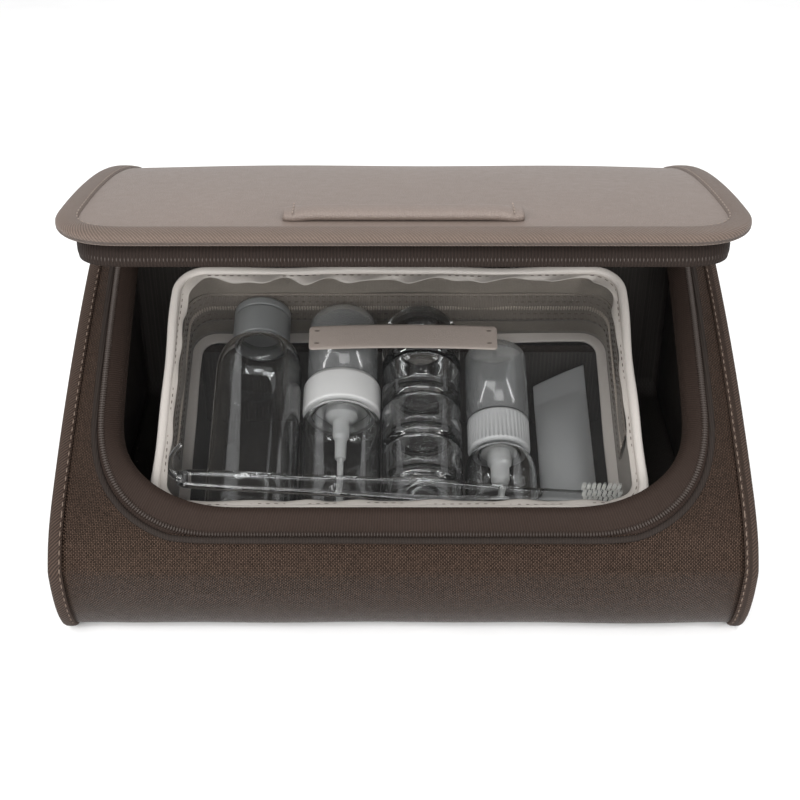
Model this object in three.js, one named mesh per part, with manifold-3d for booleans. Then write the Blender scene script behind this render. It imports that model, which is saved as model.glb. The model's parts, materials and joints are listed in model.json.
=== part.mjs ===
// A structured wash bag, its U-shaped zip lid held open, and a clear zip pouch of travel bottles leaning in it
// Millimetres. X is across the bag, +Y goes to the back, +Z is up. The origin is the middle of the flat base.
import * as THREE from "three";
import { mergeVertices } from "three/addons/utils/BufferGeometryUtils.js";
import Module from "manifold-3d";

const wasm = await Module();
wasm.setup();

// Bag: driving sizes
const GAP = 0.3; // clearance between neighbouring pieces
const OVERRUN = 60; // how far a cutter runs past what it cuts
const MAX_PASSES = 4; // passes over an outline that is drawn in
const SHORTEST = 2.4; // shortest edge of the body's outline
const WRAP_WIDTH = 256; // the sewn body panel, from side seam to side seam
const BASE_FRONT = -72; // the flat base ends here in front
const BASE_BACK = 80; // and here behind
const BULGE_Y = -91; // the front wall's furthest point
const BULGE_LOW = 12;
const BULGE_MID = 36;
const RIM_Y = -84; // the front of the opening
const RIM_Z = 50;
const TOP_Y = 84; // the top's back end, where the lid is sewn on
const TOP_Z = 112;
const TOP_SAG = 8; // how far the top arches over the straight line from rim to back
const BACK_Y = 92; // the back wall
const BACK_TOP_RADIUS = 8;
const BACK_LOW_RADIUS = 12;
const WRAP_WALL = 2;
const BOARD_WALL = 1.2;
const LINING_WALL = 0.8;
const SIDE_WALL = 2;
const SIDE_PADDING = 4; // how far a side panel's middle stands out
const BINDING_WIDTH = 8; // twill binding outside each side seam
const BINDING_DEPTH = 7;
const BINDING_SINK = 1.5; // how far the bead stands outside the body's own outline

// Opening and its zip
const OPEN_EDGE = 1.5; // the strip of the panel beside the opening, at its back
const OPEN_TAPER = 5.5; // how much nearer the middle its sides come in front
const OPEN_BACK_HALF = WRAP_WIDTH / 2 - OPEN_EDGE;
const OPEN_FRONT_HALF = OPEN_BACK_HALF - OPEN_TAPER;
const OPEN_BACK_Y = 74;
const OPEN_CORNER = 48;
const TAPE_WIDTH = 8; // the part of the zip tape that shows inside the opening
const TAPE_UNDER = 4; // the part that is sewn under the panel
const TAPE_WALL = 0.8;
const COIL_WIDTH = 2.6;
const COIL_HEIGHT = 1.6;

// Inner pocket
const LINING_IN = WRAP_WALL + BOARD_WALL + GAP; // the lining's depth below the body's outer face
const FLOOR_IN = LINING_IN + LINING_WALL + GAP; // height of the lined floor
const POCKET_WIDTH = 190;
const POCKET_Y = 58;
const POCKET_TOP = 47.5;
const POCKET_WALL = 1.2;
const POCKET_HEM = 4;

// Lid
const LID_OPEN_DEG = 37.2; // the angle at which the lid is held
const HINGE_ROLL = 3.9; // radius of the rolled seam that the lid turns on
const HINGE_STEPS = 16;
const HINGE_Y = TOP_Y;
const HINGE_Z = TOP_Z + GAP + HINGE_ROLL;
const LID_EDGE = 2; // how much narrower the lid is than the body, on each side
const LID_TAPER = 7;
const LID_BACK_HALF = WRAP_WIDTH / 2 - LID_EDGE;
const LID_FRONT_HALF = LID_BACK_HALF - LID_TAPER;
const HINGE_SHORT = 12; // how far the rolled seam ends before the lid's side
const HINGE_HALF = LID_BACK_HALF - HINGE_SHORT;
const LID_FRONT_Y = -90;
const LID_BACK_Y = 84;
const LID_CORNER = 26;
const BAND_HEIGHT = 7.6; // the zip band under the lid's edge
const BAND_WALL = 1.6;
const BAND_INSET = 9.2;
const LID_WALL = 3;
const LID_BINDING_WIDTH = 8;
const LID_BINDING_HEIGHT = 6;
const HANDLE_LENGTH = 82;
const HANDLE_WIDTH = 12;
const HANDLE_WALL = 3;
const HANDLE_RISE = 2.5;
const HANDLE_FOOT = 9;
const HANDLE_Y = -72;

// Sliders of the bag's zip
const SLIDER_LENGTH = 10;
const SLIDER_WIDTH = 5;
const SLIDER_HEIGHT = 3;
const SLIDER_Y = 58;
const PULL_LENGTH = 22;
const PULL_WIDTH = 5;
const PULL_WALL = 1.2;
const BAIL_SPAN = 2.1; // between the bail's legs
const BAIL_WIDTH = 2;
const BAIL_HEIGHT = 3;
const BAIL_WIRE = 0.9;
const PULL_WINDOW = 5.3; // from a pull's pin to its window's far edge, so that it swings round the bail
const PULL_TIP_SHARE = 1 / 3; // of the pull's width, the rounding of its tongue

// Pouch: driving sizes
const POUCH_LEAN_DEG = 22.6;
const POUCH_Y = -49;
const POUCH_X = -1.5;
const POUCH_HEIGHT = 124;
const POUCH_DEPTH = 48;
const POUCH_CORNER = 13;
const FRAME_WIDTH = 8;
const FRAME_WALL = 3.6;
const BACK_FRAME_WALL = 1.6;
const FRAME_SOFT_SHARE = 1 / 4; // of the frame's wall, the step that rounds its edges
const FILM = 0.6;
const GUSSET_WALL = 1.2;
const ZIP_TAPE = 20;
const ZIP_START = 46; // how high up its sides the pouch's zip begins
const ZIP_COIL = 3.2;
const PLATE_LENGTH = 80;
const PLATE_HEIGHT = 12.4;
const PLATE_WALL = 1.6;
const PLATE_SOFT_SHARE = 1 / 8; // of the plate's height, its corners' radius
const SLIDER_PARK_SHARE = 1 / 3; // of the pouch's width, from its middle to the parked slider
const PLATE_X = 0.1;
const PLATE_Y = 84.7;

// Bottles and tools
const WALL = 1.2; // moulded wall
const ROUND = 22; // steps round a bottle
const SHOULDER_STEPS = 4;
const FOOT_SHARE = 1 / 6; // of a bottle's radius, the slant at its foot
const SOFT_SHARE = 1 / 12; // of a jar's or cap's radius, its rounded edges
const GUSSET_INSET = 2.4; // how far the gusset stands inside the frames' edge
const SEAT = GUSSET_INSET + GUSSET_WALL + GAP; // where the contents stand
const BED = BACK_FRAME_WALL + GAP; // and what they lie on

const BOTTLE_R = 19;
const BOTTLE_BODY = 80;
const BOTTLE_SHOULDER = 15.5;
const BOTTLE_NECK_R = 10.5;
const BOTTLE_NECK = 7;
const FLIP_R = 12.7;
const FLIP_BASE = 14;
const FLIP_LID = 5;
const FLIP_BORE_SHARE = 1 / 6; // of the cap's radius, the hole it pours through
const FLIP_SEAT_SHARE = 1 / 4; // and the recess above that
const FLIP_CROWN_SHARE = 0.9; // and its lid's flat top
const FLIP_NOTCH_SHARE = 0.8; // and the finger notch's width
const FLIP_NOTCH_DEPTH_SHARE = 1 / 3; // and depth

const FOAM_R = 17.2;
const FOAM_BODY = 52.6;
const FOAM_SHOULDER = 6.6;
const FOAM_NECK = 6;
const FOAM_COLLAR_R = FOAM_R - GAP;
const FOAM_COLLAR_WALL = 3.5; // the collar's ring, from its outside to the bottle's neck
const FOAM_NECK_R = FOAM_COLLAR_R - FOAM_COLLAR_WALL;
const FOAM_COLLAR = 20;
const FOAM_HEAD_R = 8.6;
const FOAM_HEAD = 26;
const FOAM_SKIRT_SHARE = 0.77; // of the collar's height, below the overcap's rim
const FOAM_EDGE_SHARE = 0.71; // and of that, the part below its slanting edge
const FOAM_TRAVEL = 6;
const FOAM_STEM_R = 5;
const FOAM_SPOUT = 4;
const FOAM_DOME_SHARE = 0.6; // of the overcap's radius, its dome's height
const HEAD_WAIST_SHARE = 0.7; // of a pump head's height, straight below its rounded top
const HEAD_TOP_SHARE = 0.7; // of its radius, its flat top
const HEAD_CROWN_SHARE = 0.95; // of its height, where the flat top starts
const SPOUT_SHARE = 0.6; // of its height, where its spout or nozzle is
const FOAM_CAP_STEP = 1.5; // the step from the collar in to the overcap
const FOAM_CAP_R = FOAM_COLLAR_R - FOAM_CAP_STEP;
const FOAM_CAP_TOP = 119.6;
const DIP_R = 1.4;
const FOAM_ENGINE_R = [7.2, 3.6, 2.4]; // the engine's steps, from the neck down
const FOAM_ENGINE_H = [4, 10, 11];

const JAR_R = 17.3;
const JAR_PITCH = 20.8;
const JAR_COUNT = 4;
const JAR_THREAD = 2.7; // the step from a jar in to its threaded neck
const JAR_NECK_R = JAR_R - JAR_THREAD;
const JAR_NECK = 4.4;
const JAR_FLOOR = 1.6;
const JAR_LID = 32;
const JAR_LID_SHARE = 0.5; // of the lid's height, straight below its dome

const SPRAY_R = 15.3;
const SPRAY_BODY = 30;
const SPRAY_SHOULDER = 11.5;
const SPRAY_NECK_R = 9.5;
const SPRAY_NECK = 4;
const SPRAY_STEP = 1.9; // the step from the bottle in to its collar
const SPRAY_COLLAR_R = SPRAY_R - SPRAY_STEP;
const SPRAY_COLLAR = 20.8;
const SPRAY_STEP_SHARE = 0.75; // of the collar's height, below the overcap's rim
const SPRAY_RIBS = 22;
const RIB_DEPTH = 0.6;
const RIB_VALLEY = 0.9; // how far the grooves between the ribs go in
const RIB_LENGTH_SHARE = 0.85; // of the step's height
const RIB_START_SHARE = 0.1;
const SPRAY_HEAD_R = 7.4;
const SPRAY_HEAD = 22;
const SPRAY_WAIST_R = 6.8;
const SPRAY_DOME_SHARE = 0.5; // of the overcap's radius, its dome's height
const NOZZLE_STEPS = 10;
const ENGINE_STEPS = 20;
const SPRAY_TRAVEL = 4;
const SPRAY_STEM_R = 3.2;
const SPRAY_ENGINE_R = [5.2, 4];
const SPRAY_ENGINE_H = [7, 9];
const SPRAY_CAP_SLACK = 0.2; // how much wider the overcap is than the collar
const SPRAY_CAP_R = SPRAY_COLLAR_R + SPRAY_CAP_SLACK;
const SPRAY_CAP_TOP = 101;

const TUBE_HALF = 11.8;
const TUBE_CRIMP_HALF = 1.1;
const TUBE_TOP_LOW = 86;
const TUBE_TOP_HIGH = 98;
const TUBE_PRESS_SHARE = 0.85; // of the tube's length, where it is wholly flat
const TUBE_PRESS_POWER = 1.4; // how late it flattens
const TUBE_AROUND = 24;
const TUBE_RINGS = 9;
const TUBE_CAP_R = 10.4;
const TUBE_CAP = 9;

// The row of contents fills the pouch from side to side, and sets its width
const ROOM_LEFT = 14.2;
const BOTTLE_TO_FOAM = 0.6;
const FOAM_TO_JARS = 0.3;
const JARS_TO_SPRAY = 0.5;
const SPRAY_TO_TUBE = 2;
const ROOM_RIGHT = 11.4;
const ROW = 2 * (BOTTLE_R + FOAM_R + JAR_R + SPRAY_R + TUBE_HALF)
  + BOTTLE_TO_FOAM + FOAM_TO_JARS + JARS_TO_SPRAY + SPRAY_TO_TUBE;
const POUCH_WIDTH = ROOM_LEFT + ROW + ROOM_RIGHT + 2 * SEAT;
const BOTTLE_X = POUCH_X - POUCH_WIDTH / 2 + SEAT + ROOM_LEFT + BOTTLE_R;
const FOAM_X = BOTTLE_X + BOTTLE_R + BOTTLE_TO_FOAM + FOAM_R;
const JAR_X = FOAM_X + FOAM_R + FOAM_TO_JARS + JAR_R;
const SPRAY_X = JAR_X + JAR_R + JARS_TO_SPRAY + SPRAY_R;
const TUBE_X = SPRAY_X + SPRAY_R + SPRAY_TO_TUBE + TUBE_HALF;

const BRUSH_START = -90.8;
const BRUSH_HEAD_START = 71;
const BRUSH_END = 88.5;
const BRUSH_WALL = 3.8;
const BRUSH_Z = 43.3; // middle of the handle's thickness at its left end
const BRUSH_DROP_DEG = 2.3;
const BRUSH_GRIP_HALF = 4.6;
const BRUSH_THUMB_HALF = 5.7;
const BRUSH_NECK_HALF = 3;
const BRUSH_HEAD_HALF = 4.8;
const BRUSH_END_HALF = 3.7;
const BRUSH_SHANK_HALF = 3.6;
const BRUSH_TIP_HALF = 3.1;
const BRUSH_PLACES_SHARES = [0, 0.1, 0.34, 0.55, 0.76]; // of its length, where the handle's halves are set
const BRUSH_STEPS = 22;
const BRUSH_SOFT_SHARE = 1 / 4; // of its wall, its rounded edges
const BRUSH_GRIP_Y = 18.2;
const BRUSH_HEAD_Y = 12.4;
const TUFT_ROWS = 3;
const TUFT_COLUMNS = 8;
const TUFT_R = 0.8;
const TUFT_LENGTH = 5.2;
const TUFT_PITCH = 2.05;
const TUFT_ROW_PITCH = 3;
const TUFT_STEPS = 6;

// Closed three.js geometry as a solid, and back
function solid(geometry) {
  const bare = geometry.index ? geometry.toNonIndexed() : geometry.clone();
  bare.deleteAttribute("normal");
  bare.deleteAttribute("uv");
  const merged = mergeVertices(bare, 1e-3);
  return new wasm.Manifold(
    new wasm.Mesh({
      numProp: 3,
      vertProperties: merged.attributes.position.array,
      triVerts: new Uint32Array(merged.index.array),
    }),
  );
}

function geometryOf(body) {
  const mesh = body.getMesh();
  const geometry = new THREE.BufferGeometry();
  const places = new Float32Array(mesh.numVert * 3);
  for (let i = 0; i < mesh.numVert; i++)
    places.set(mesh.vertProperties.subarray(i * mesh.numProp, i * mesh.numProp + 3), i * 3);
  geometry.setAttribute("position", new THREE.BufferAttribute(places, 3));
  geometry.setIndex(new THREE.BufferAttribute(new Uint32Array(mesh.triVerts), 1));
  geometry.computeVertexNormals();
  return geometry;
}

const joined = (...bodies) => bodies.reduce((a, b) => a.add(b));

// A flat outline in X and Y, raised from z0 to z1
function raised(points, z0, z1, holes = []) {
  const shape = new THREE.Shape(points);
  shape.holes = holes.map((hole) => new THREE.Path(hole));
  const geometry = new THREE.ExtrudeGeometry(shape, { depth: z1 - z0, bevelEnabled: false });
  geometry.translate(0, 0, z0);
  return solid(geometry);
}

// An outline in Y and Z, drawn out along X from x0 to x1
function drawnAcross(points, x0, x1, holes = []) {
  const body = raised(points, x0, x1, holes);
  const turned = geometryOf(body);
  turned.applyMatrix4(new THREE.Matrix4().set(0, 0, 1, 0, 1, 0, 0, 0, 0, 1, 0, 0, 0, 0, 0, 1));
  return solid(turned);
}

function block(width, depth, height, x, y, z) {
  const geometry = new THREE.BoxGeometry(width, depth, height);
  geometry.translate(x, y, z);
  return solid(geometry);
}

// A profile of [radius, height] turned about Y, standing at x, y, z. One that starts off the axis is a ring
function turned(profile, x, y, z, steps = ROUND) {
  const closed = profile[0][0] > 0 ? [...profile, profile[0]] : profile;
  const points = closed.map(([r, h]) => new THREE.Vector2(r, h));
  const spun = (path) => {
    const geometry = new THREE.LatheGeometry(path, steps);
    geometry.translate(x, y, z);
    return solid(geometry);
  };
  const body = spun(points);
  return body.volume() > 0 ? body : spun(points.reverse());
}

// Points of an outline moved inwards by a distance; the outline runs anticlockwise. Corners that a deep inset
// would turn inside out are dropped
function inset(points, distance) {
  let moved = points.map((p, i) => {
    const before = points[(i + points.length - 1) % points.length];
    const after = points[(i + 1) % points.length];
    const into = p.clone().sub(before).normalize();
    const out = after.clone().sub(p).normalize();
    const along = into.clone().add(out).normalize();
    const reach = distance / Math.max(0.5, along.dot(out));
    return { place: new THREE.Vector2(p.x - along.y * reach, p.y + along.x * reach), from: p };
  });
  for (let pass = 0; pass < MAX_PASSES; pass++)
    moved = moved.filter((m, i) => {
      const next = moved[(i + 1) % moved.length];
      const run = next.place.clone().sub(m.place);
      return run.dot(next.from.clone().sub(m.from)) > 0 && run.length() > GAP;
    });
  return moved.map((m) => m.place);
}

// An outline without the points that stand closer than a distance to the one before
function spaced(points, distance) {
  const kept = [];
  for (const p of points)
    if (!kept.length || p.distanceTo(kept[kept.length - 1]) > distance) kept.push(p);
  if (kept[0].distanceTo(kept[kept.length - 1]) <= distance) kept.pop();
  return kept;
}

// The bag's side outline in Y and Z, anticlockwise: base, back wall, arched top, rounded front
function bagOutline() {
  const path = new THREE.Path();
  path.moveTo(BASE_FRONT, 0);
  path.lineTo(BASE_BACK, 0);
  path.absarc(BACK_Y - BACK_LOW_RADIUS, BACK_LOW_RADIUS, BACK_LOW_RADIUS, -Math.PI / 2, 0, false);
  path.lineTo(BACK_Y, TOP_Z - BACK_TOP_RADIUS);
  path.absarc(TOP_Y, TOP_Z - BACK_TOP_RADIUS, BACK_TOP_RADIUS, 0, Math.PI / 2, false);
  const run = new THREE.Vector2(RIM_Y - TOP_Y, RIM_Z - TOP_Z);
  const rise = new THREE.Vector2(run.y, -run.x).normalize().multiplyScalar(2 * TOP_SAG);
  path.quadraticCurveTo(TOP_Y + run.x / 2 + rise.x, TOP_Z + run.y / 2 + rise.y, RIM_Y, RIM_Z);
  path.quadraticCurveTo(BULGE_Y, (RIM_Z + BULGE_MID) / 2, BULGE_Y, BULGE_MID);
  path.bezierCurveTo(BULGE_Y, BULGE_LOW, (BULGE_Y + BASE_FRONT) / 2, 0, BASE_FRONT, 0);
  return spaced(path.getPoints(7), SHORTEST);
}

const OUTLINE = bagOutline();
const shellBetween = (outer, inner, width) =>
  drawnAcross(inset(OUTLINE, outer), -width / 2, width / 2, [inset(OUTLINE, inner)]);

// The opening in plan, anticlockwise from its back right corner, grown by a margin, or drawn in
function openingPlan(margin, backHalf, frontHalf, frontY, backY, corner, beyond = 0) {
  const radius = corner + margin;
  const front = frontY - margin;
  const back = backY + beyond;
  const slope = (backHalf - frontHalf) / (backY - frontY);
  const half = (y) => frontHalf + (y - frontY) * slope + margin;
  const path = new THREE.Path();
  path.moveTo(half(back), back);
  path.lineTo(-half(back), back);
  path.lineTo(-half(front + radius), front + radius);
  path.quadraticCurveTo(-half(front), front, -half(front) + radius, front);
  path.lineTo(half(front) - radius, front);
  path.quadraticCurveTo(half(front), front, half(front + radius), front + radius);
  return path.getPoints(6).slice(0, -1);
}
const bagOpening = (margin) =>
  openingPlan(margin, OPEN_BACK_HALF, OPEN_FRONT_HALF, RIM_Y, OPEN_BACK_Y, OPEN_CORNER);
const lidPlan = (margin, beyond) =>
  openingPlan(margin, LID_BACK_HALF, LID_FRONT_HALF, LID_FRONT_Y, LID_BACK_Y, LID_CORNER, beyond);

// A rounded rectangle from its lower left corner at x, y
function roundedRectangle(x, y, width, height, radius) {
  const path = new THREE.Path();
  path.absarc(x + width - radius, y + radius, radius, -Math.PI / 2, 0, false);
  path.absarc(x + width - radius, y + height - radius, radius, 0, Math.PI / 2, false);
  path.absarc(x + radius, y + height - radius, radius, Math.PI / 2, Math.PI, false);
  path.absarc(x + radius, y + radius, radius, Math.PI, 1.5 * Math.PI, false);
  return spaced(path.getPoints(4), GAP);
}

const finish = (name, colour, roughness, metalness = 0, opacity = 1) =>
  new THREE.MeshStandardMaterial({
    name, color: colour, roughness, metalness, opacity, transparent: opacity < 1,
  });
const nylon = finish("nylon", 0x4f4037, 0.85);
const twill = finish("twill", 0x5c4c43, 0.8);
const leatherette = finish("leatherette", 0x94877e, 0.6);
const blackLining = finish("lining", 0x171412, 0.9);
const zipBrown = finish("zip", 0x3b2e28, 0.6);
const metal = finish("slider_metal", 0x6a5a50, 0.35, 1);
const whiteTrim = finish("white_trim", 0xcfc8c1, 0.55);
const taupeTape = finish("taupe_tape", 0x9b9188, 0.85);
const clear = finish("clear", 0xe8eeee, 0.08, 0, 0.35);
const frosted = finish("frosted", 0xb9bdbd, 0.45, 0, 0.7);
const whitePlastic = finish("white_plastic", 0xe6e6e4, 0.4);
const greyPlastic = finish("grey_plastic", 0x8d9191, 0.4);

const bag = new THREE.Group();
const lid = new THREE.Group();
const pouch = new THREE.Group();

function add(group, name, body, material) {
  const mesh = new THREE.Mesh(geometryOf(body), material);
  mesh.name = name;
  group.add(mesh);
  return mesh;
}

// Body of the bag
function buildBag() {
  const cutter = raised(bagOpening(0), BULGE_MID, TOP_Z + OVERRUN);
  const width = WRAP_WIDTH;
  add(bag, "body_wrap", shellBetween(0, WRAP_WALL, width).subtract(cutter), nylon);

  const boardIn = WRAP_WALL + GAP / 2;
  add(bag, "base_board", block(
    width - 2 * BINDING_WIDTH, BASE_BACK - BASE_FRONT - 2 * WRAP_WALL, BOARD_WALL,
    0, (BASE_BACK + BASE_FRONT) / 2, boardIn + BOARD_WALL / 2), blackLining);

  const liningOpening = raised(bagOpening(TAPE_UNDER + GAP), RIM_Z - TAPE_UNDER, TOP_Z + OVERRUN);
  const tub = shellBetween(LINING_IN, LINING_IN + LINING_WALL, width - 2 * GAP);
  add(bag, "lining", tub.subtract(liningOpening), blackLining);

  for (const [side, sign] of [["left", -1], ["right", 1]]) {
    add(bag, `side_panel_${side}`, sidePanel(sign), nylon);
    add(bag, `side_binding_${side}`, sideBinding(sign), twill);
    add(bag, `side_pad_${side}`, sidePad(sign), blackLining);
  }

  const tapeTop = WRAP_WALL + GAP / 2;
  const tapeRing = raised(bagOpening(TAPE_UNDER), RIM_Z - TAPE_UNDER, TOP_Z + OVERRUN)
    .subtract(raised(bagOpening(-TAPE_WIDTH), 0, TOP_Z + 2 * OVERRUN))
    .subtract(block(2 * width, OVERRUN, 4 * TOP_Z, 0, OPEN_BACK_Y - GAP + OVERRUN / 2, TOP_Z));
  const tapeSheet = shellBetween(tapeTop, tapeTop + TAPE_WALL, width - 2 * GAP);
  add(bag, "zip_tape_body", tapeSheet.intersect(tapeRing), zipBrown);

  const coilOut = -(TAPE_WIDTH - COIL_WIDTH);
  const coilRing = raised(bagOpening(coilOut), BULGE_MID, TOP_Z + OVERRUN)
    .subtract(raised(bagOpening(-TAPE_WIDTH), 0, TOP_Z + 2 * OVERRUN))
    .subtract(block(2 * width, OVERRUN, 4 * TOP_Z, 0, OPEN_BACK_Y - GAP + OVERRUN / 2, TOP_Z));
  add(bag, "zip_coil_body",
    shellBetween(WRAP_WALL - COIL_HEIGHT, WRAP_WALL, width).intersect(coilRing), zipBrown);
}

// A slip pocket along the back wall, open at the top, with a thick hem that the pouch leans on
function buildPocket() {
  const back = BACK_Y - WRAP_WALL - BOARD_WALL - LINING_WALL - 3 * GAP;
  const low = FLOOR_IN + GAP;
  const half = POCKET_WIDTH / 2;
  const height = POCKET_TOP - low;
  const middle = (POCKET_TOP + low) / 2;
  const sheet = block(POCKET_WIDTH, POCKET_WALL, height, 0, POCKET_Y + POCKET_WALL / 2, middle);
  const side = (x) => block(POCKET_WALL, back - POCKET_Y, height, x, (back + POCKET_Y) / 2, middle);
  const hem = block(POCKET_WIDTH, POCKET_HEM, POCKET_HEM,
    0, POCKET_Y + POCKET_HEM / 2, POCKET_TOP - POCKET_HEM / 2);
  const seam = half - POCKET_WALL / 2;
  const inside = drawnAcross(inset(OUTLINE, LINING_IN + LINING_WALL + GAP), -POCKET_WIDTH, POCKET_WIDTH);
  add(bag, "inner_pocket", joined(sheet, side(-seam), side(seam), hem).intersect(inside), blackLining);
}

// A side panel: a flat sheet with a padded middle that fills the bound seam's ring
function sidePanel(sign) {
  const inner = WRAP_WIDTH / 2 + GAP;
  const between = (outline, a, b) => (sign > 0 ? drawnAcross(outline, a, b) : drawnAcross(outline, -b, -a));
  const middle = inset(OUTLINE, BINDING_DEPTH + GAP);
  const flat = between(OUTLINE, inner, inner + SIDE_WALL);
  return joined(flat, between(middle, inner, inner + SIDE_WALL + SIDE_PADDING));
}

// The bound seam that frames each side: a bead with a rounded outer edge, carried round the outline
function sideBinding(sign) {
  const start = WRAP_WIDTH / 2 + SIDE_WALL + 2 * GAP;
  const outer = start + BINDING_WIDTH - SIDE_WALL - GAP;
  const low = sign > 0 ? start : -outer;
  const high = sign > 0 ? outer : -start;
  const round = BINDING_DEPTH / 4;
  const ring = (grow, x0, x1) =>
    drawnAcross(inset(OUTLINE, -grow), x0, x1, [inset(OUTLINE, BINDING_DEPTH - grow)]);
  const [flat, rim] = sign > 0 ? [[low, high - round], [low, high]] : [[low + round, high], [low, high]];
  const underfoot = block(4 * WRAP_WIDTH, 4 * BACK_Y, OVERRUN, 0, 0, -OVERRUN / 2);
  return joined(ring(BINDING_SINK, ...flat), ring(0, ...rim)).subtract(underfoot);
}

// The padded inner face of each side, standing just inside the lining's end
function sidePad(sign) {
  const edge = WRAP_WIDTH / 2 - 2 * GAP;
  const [x0, x1] = sign > 0 ? [edge - SIDE_WALL, edge] : [-edge, -edge + SIDE_WALL];
  const deep = LINING_IN + LINING_WALL + GAP;
  const pad = drawnAcross(inset(OUTLINE, deep), x0, x1);
  return pad;
}

// Lid, drawn closed and then turned up about its hinge
function buildLid() {
  const across = 2 * (LID_BACK_HALF + LID_BINDING_WIDTH);
  const low = -GAP - WRAP_WALL / 2;
  const bandTop = low - BAND_HEIGHT;
  const panelTop = bandTop - GAP - LID_WALL;
  const prism = (margin, beyond) => raised(lidPlan(margin, beyond), 0, TOP_Z + 2 * OVERRUN);
  const between = (outer, inner) => shellBetween(outer, inner, across);
  const topOnly = block(2 * across, 4 * TOP_Z, RIM_Z, 0, 0, -RIM_Z / 2 + BULGE_MID);
  const upper = (body) => body.subtract(topOnly);

  const binding = LID_BINDING_WIDTH;
  const rollRoom = rod(HINGE_ROLL + GAP, across);
  const sheet = upper(between(panelTop, panelTop + LID_WALL).intersect(prism(-binding)));
  add(lid, "lid_panel", sheet.subtract(rollRoom), leatherette);

  const beadTop = panelTop + (LID_WALL - LID_BINDING_HEIGHT) / 2;
  const beadRing = (grow, trim) => upper(between(beadTop + trim, beadTop + LID_BINDING_HEIGHT - trim)
    .intersect(prism(grow).subtract(prism(-binding + GAP, OVERRUN))));
  const beadSoft = LID_BINDING_HEIGHT / 5;
  add(lid, "lid_binding", joined(beadRing(-beadSoft, 0), beadRing(0, beadSoft)), twill);

  const under = panelTop + LID_WALL + GAP;
  add(lid, "lid_lining", upper(between(under, under + LINING_WALL)
    .intersect(prism(-binding - BAND_WALL - GAP))).subtract(rollRoom), blackLining);

  const bandTopIn = beadTop + LID_BINDING_HEIGHT + GAP;
  const bandRing = prism(-BAND_INSET).subtract(prism(-BAND_INSET - BAND_WALL, OVERRUN));
  const bandLow = low - COIL_HEIGHT - GAP;
  add(lid, "lid_zip_band", upper(between(bandTopIn, bandLow).intersect(bandRing)), zipBrown);

  const coilRing = prism(-BAND_INSET + GAP).subtract(prism(-BAND_INSET - COIL_WIDTH, OVERRUN));
  add(lid, "lid_zip_coil", upper(between(low - COIL_HEIGHT, low).intersect(coilRing)), zipBrown);

  buildHandle(panelTop);
}

// A flat strap on the lid, sewn down at both ends and standing off between them
function buildHandle(panelTop) {
  const top = topHeightAt(HANDLE_Y, panelTop);
  const near = topHeightAt(HANDLE_Y - HANDLE_WIDTH / 2, panelTop);
  const far = topHeightAt(HANDLE_Y + HANDLE_WIDTH / 2, panelTop);
  const tilt = Math.atan2(far - near, HANDLE_WIDTH);
  const half = HANDLE_LENGTH / 2;
  const path = new THREE.Path();
  path.moveTo(-half, 0);
  path.lineTo(-half + HANDLE_FOOT, 0);
  path.lineTo(-half + HANDLE_FOOT + HANDLE_RISE, HANDLE_RISE);
  path.lineTo(half - HANDLE_FOOT - HANDLE_RISE, HANDLE_RISE);
  path.lineTo(half - HANDLE_FOOT, 0);
  path.lineTo(half, 0);
  path.lineTo(half, HANDLE_WALL);
  path.lineTo(half - HANDLE_FOOT / 2, HANDLE_WALL + HANDLE_RISE);
  path.lineTo(-half + HANDLE_FOOT / 2, HANDLE_WALL + HANDLE_RISE);
  path.lineTo(-half, HANDLE_WALL);
  const strap = raised(path.getPoints(1), -HANDLE_WIDTH / 2, HANDLE_WIDTH / 2);
  const geometry = geometryOf(strap);
  geometry.rotateX(Math.PI / 2);
  geometry.rotateX(tilt);
  geometry.translate(0, HANDLE_Y, top + GAP);
  add(lid, "lid_handle", solid(geometry), leatherette);
}

// Height of the arched top at y, on a face moved inwards by a distance
function topHeightAt(y, distance) {
  const face = inset(OUTLINE, distance);
  let height = 0;
  face.forEach((p, i) => {
    const q = face[(i + 1) % face.length];
    if ((p.x - y) * (q.x - y) <= 0 && p.x !== q.x)
      height = Math.max(height, p.y + ((y - p.x) / (q.x - p.x)) * (q.y - p.y));
  });
  return height;
}

// The lid's fabric hinge: a rolled seam on the bag's back edge, along the line that the lid turns on
const buildHinge = () => add(bag, "hinge_roll", rod(HINGE_ROLL, 2 * HINGE_HALF), twill);

// A rod along the hinge line
function rod(radius, length) {
  const geometry = new THREE.CylinderGeometry(radius, radius, length, HINGE_STEPS);
  geometry.rotateZ(Math.PI / 2);
  geometry.translate(0, HINGE_Y, HINGE_Z);
  return solid(geometry);
}

// One slider of the bag's zip: a channel over the coil, with a bail that holds the pull
function buildSlider(side, sign) {
  const group = new THREE.Group();
  const coilMiddle = (y) => {
    const slope = (OPEN_BACK_HALF - OPEN_FRONT_HALF) / (OPEN_BACK_Y - RIM_Y);
    return OPEN_FRONT_HALF + (y - RIM_Y) * slope - TAPE_WIDTH + COIL_WIDTH / 2;
  };
  const reach = SLIDER_LENGTH / 2;
  const rise = topHeightAt(SLIDER_Y + reach, 0) - topHeightAt(SLIDER_Y - reach, 0);
  group.position.set(sign * coilMiddle(SLIDER_Y), SLIDER_Y, topHeightAt(SLIDER_Y, WRAP_WALL - COIL_HEIGHT));
  group.rotation.x = Math.atan2(rise, SLIDER_LENGTH);

  const thick = SLIDER_HEIGHT - PULL_WALL;
  const body = block(SLIDER_WIDTH, SLIDER_LENGTH, thick, 0, 0, GAP + thick / 2);
  add(group, `slider_${side}`, joined(body, bail(GAP + thick)), metal);
  add(group, `slider_pull_${side}`, pullTab(GAP + thick + BAIL_WIRE), metal);
  bag.add(group);
}

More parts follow.
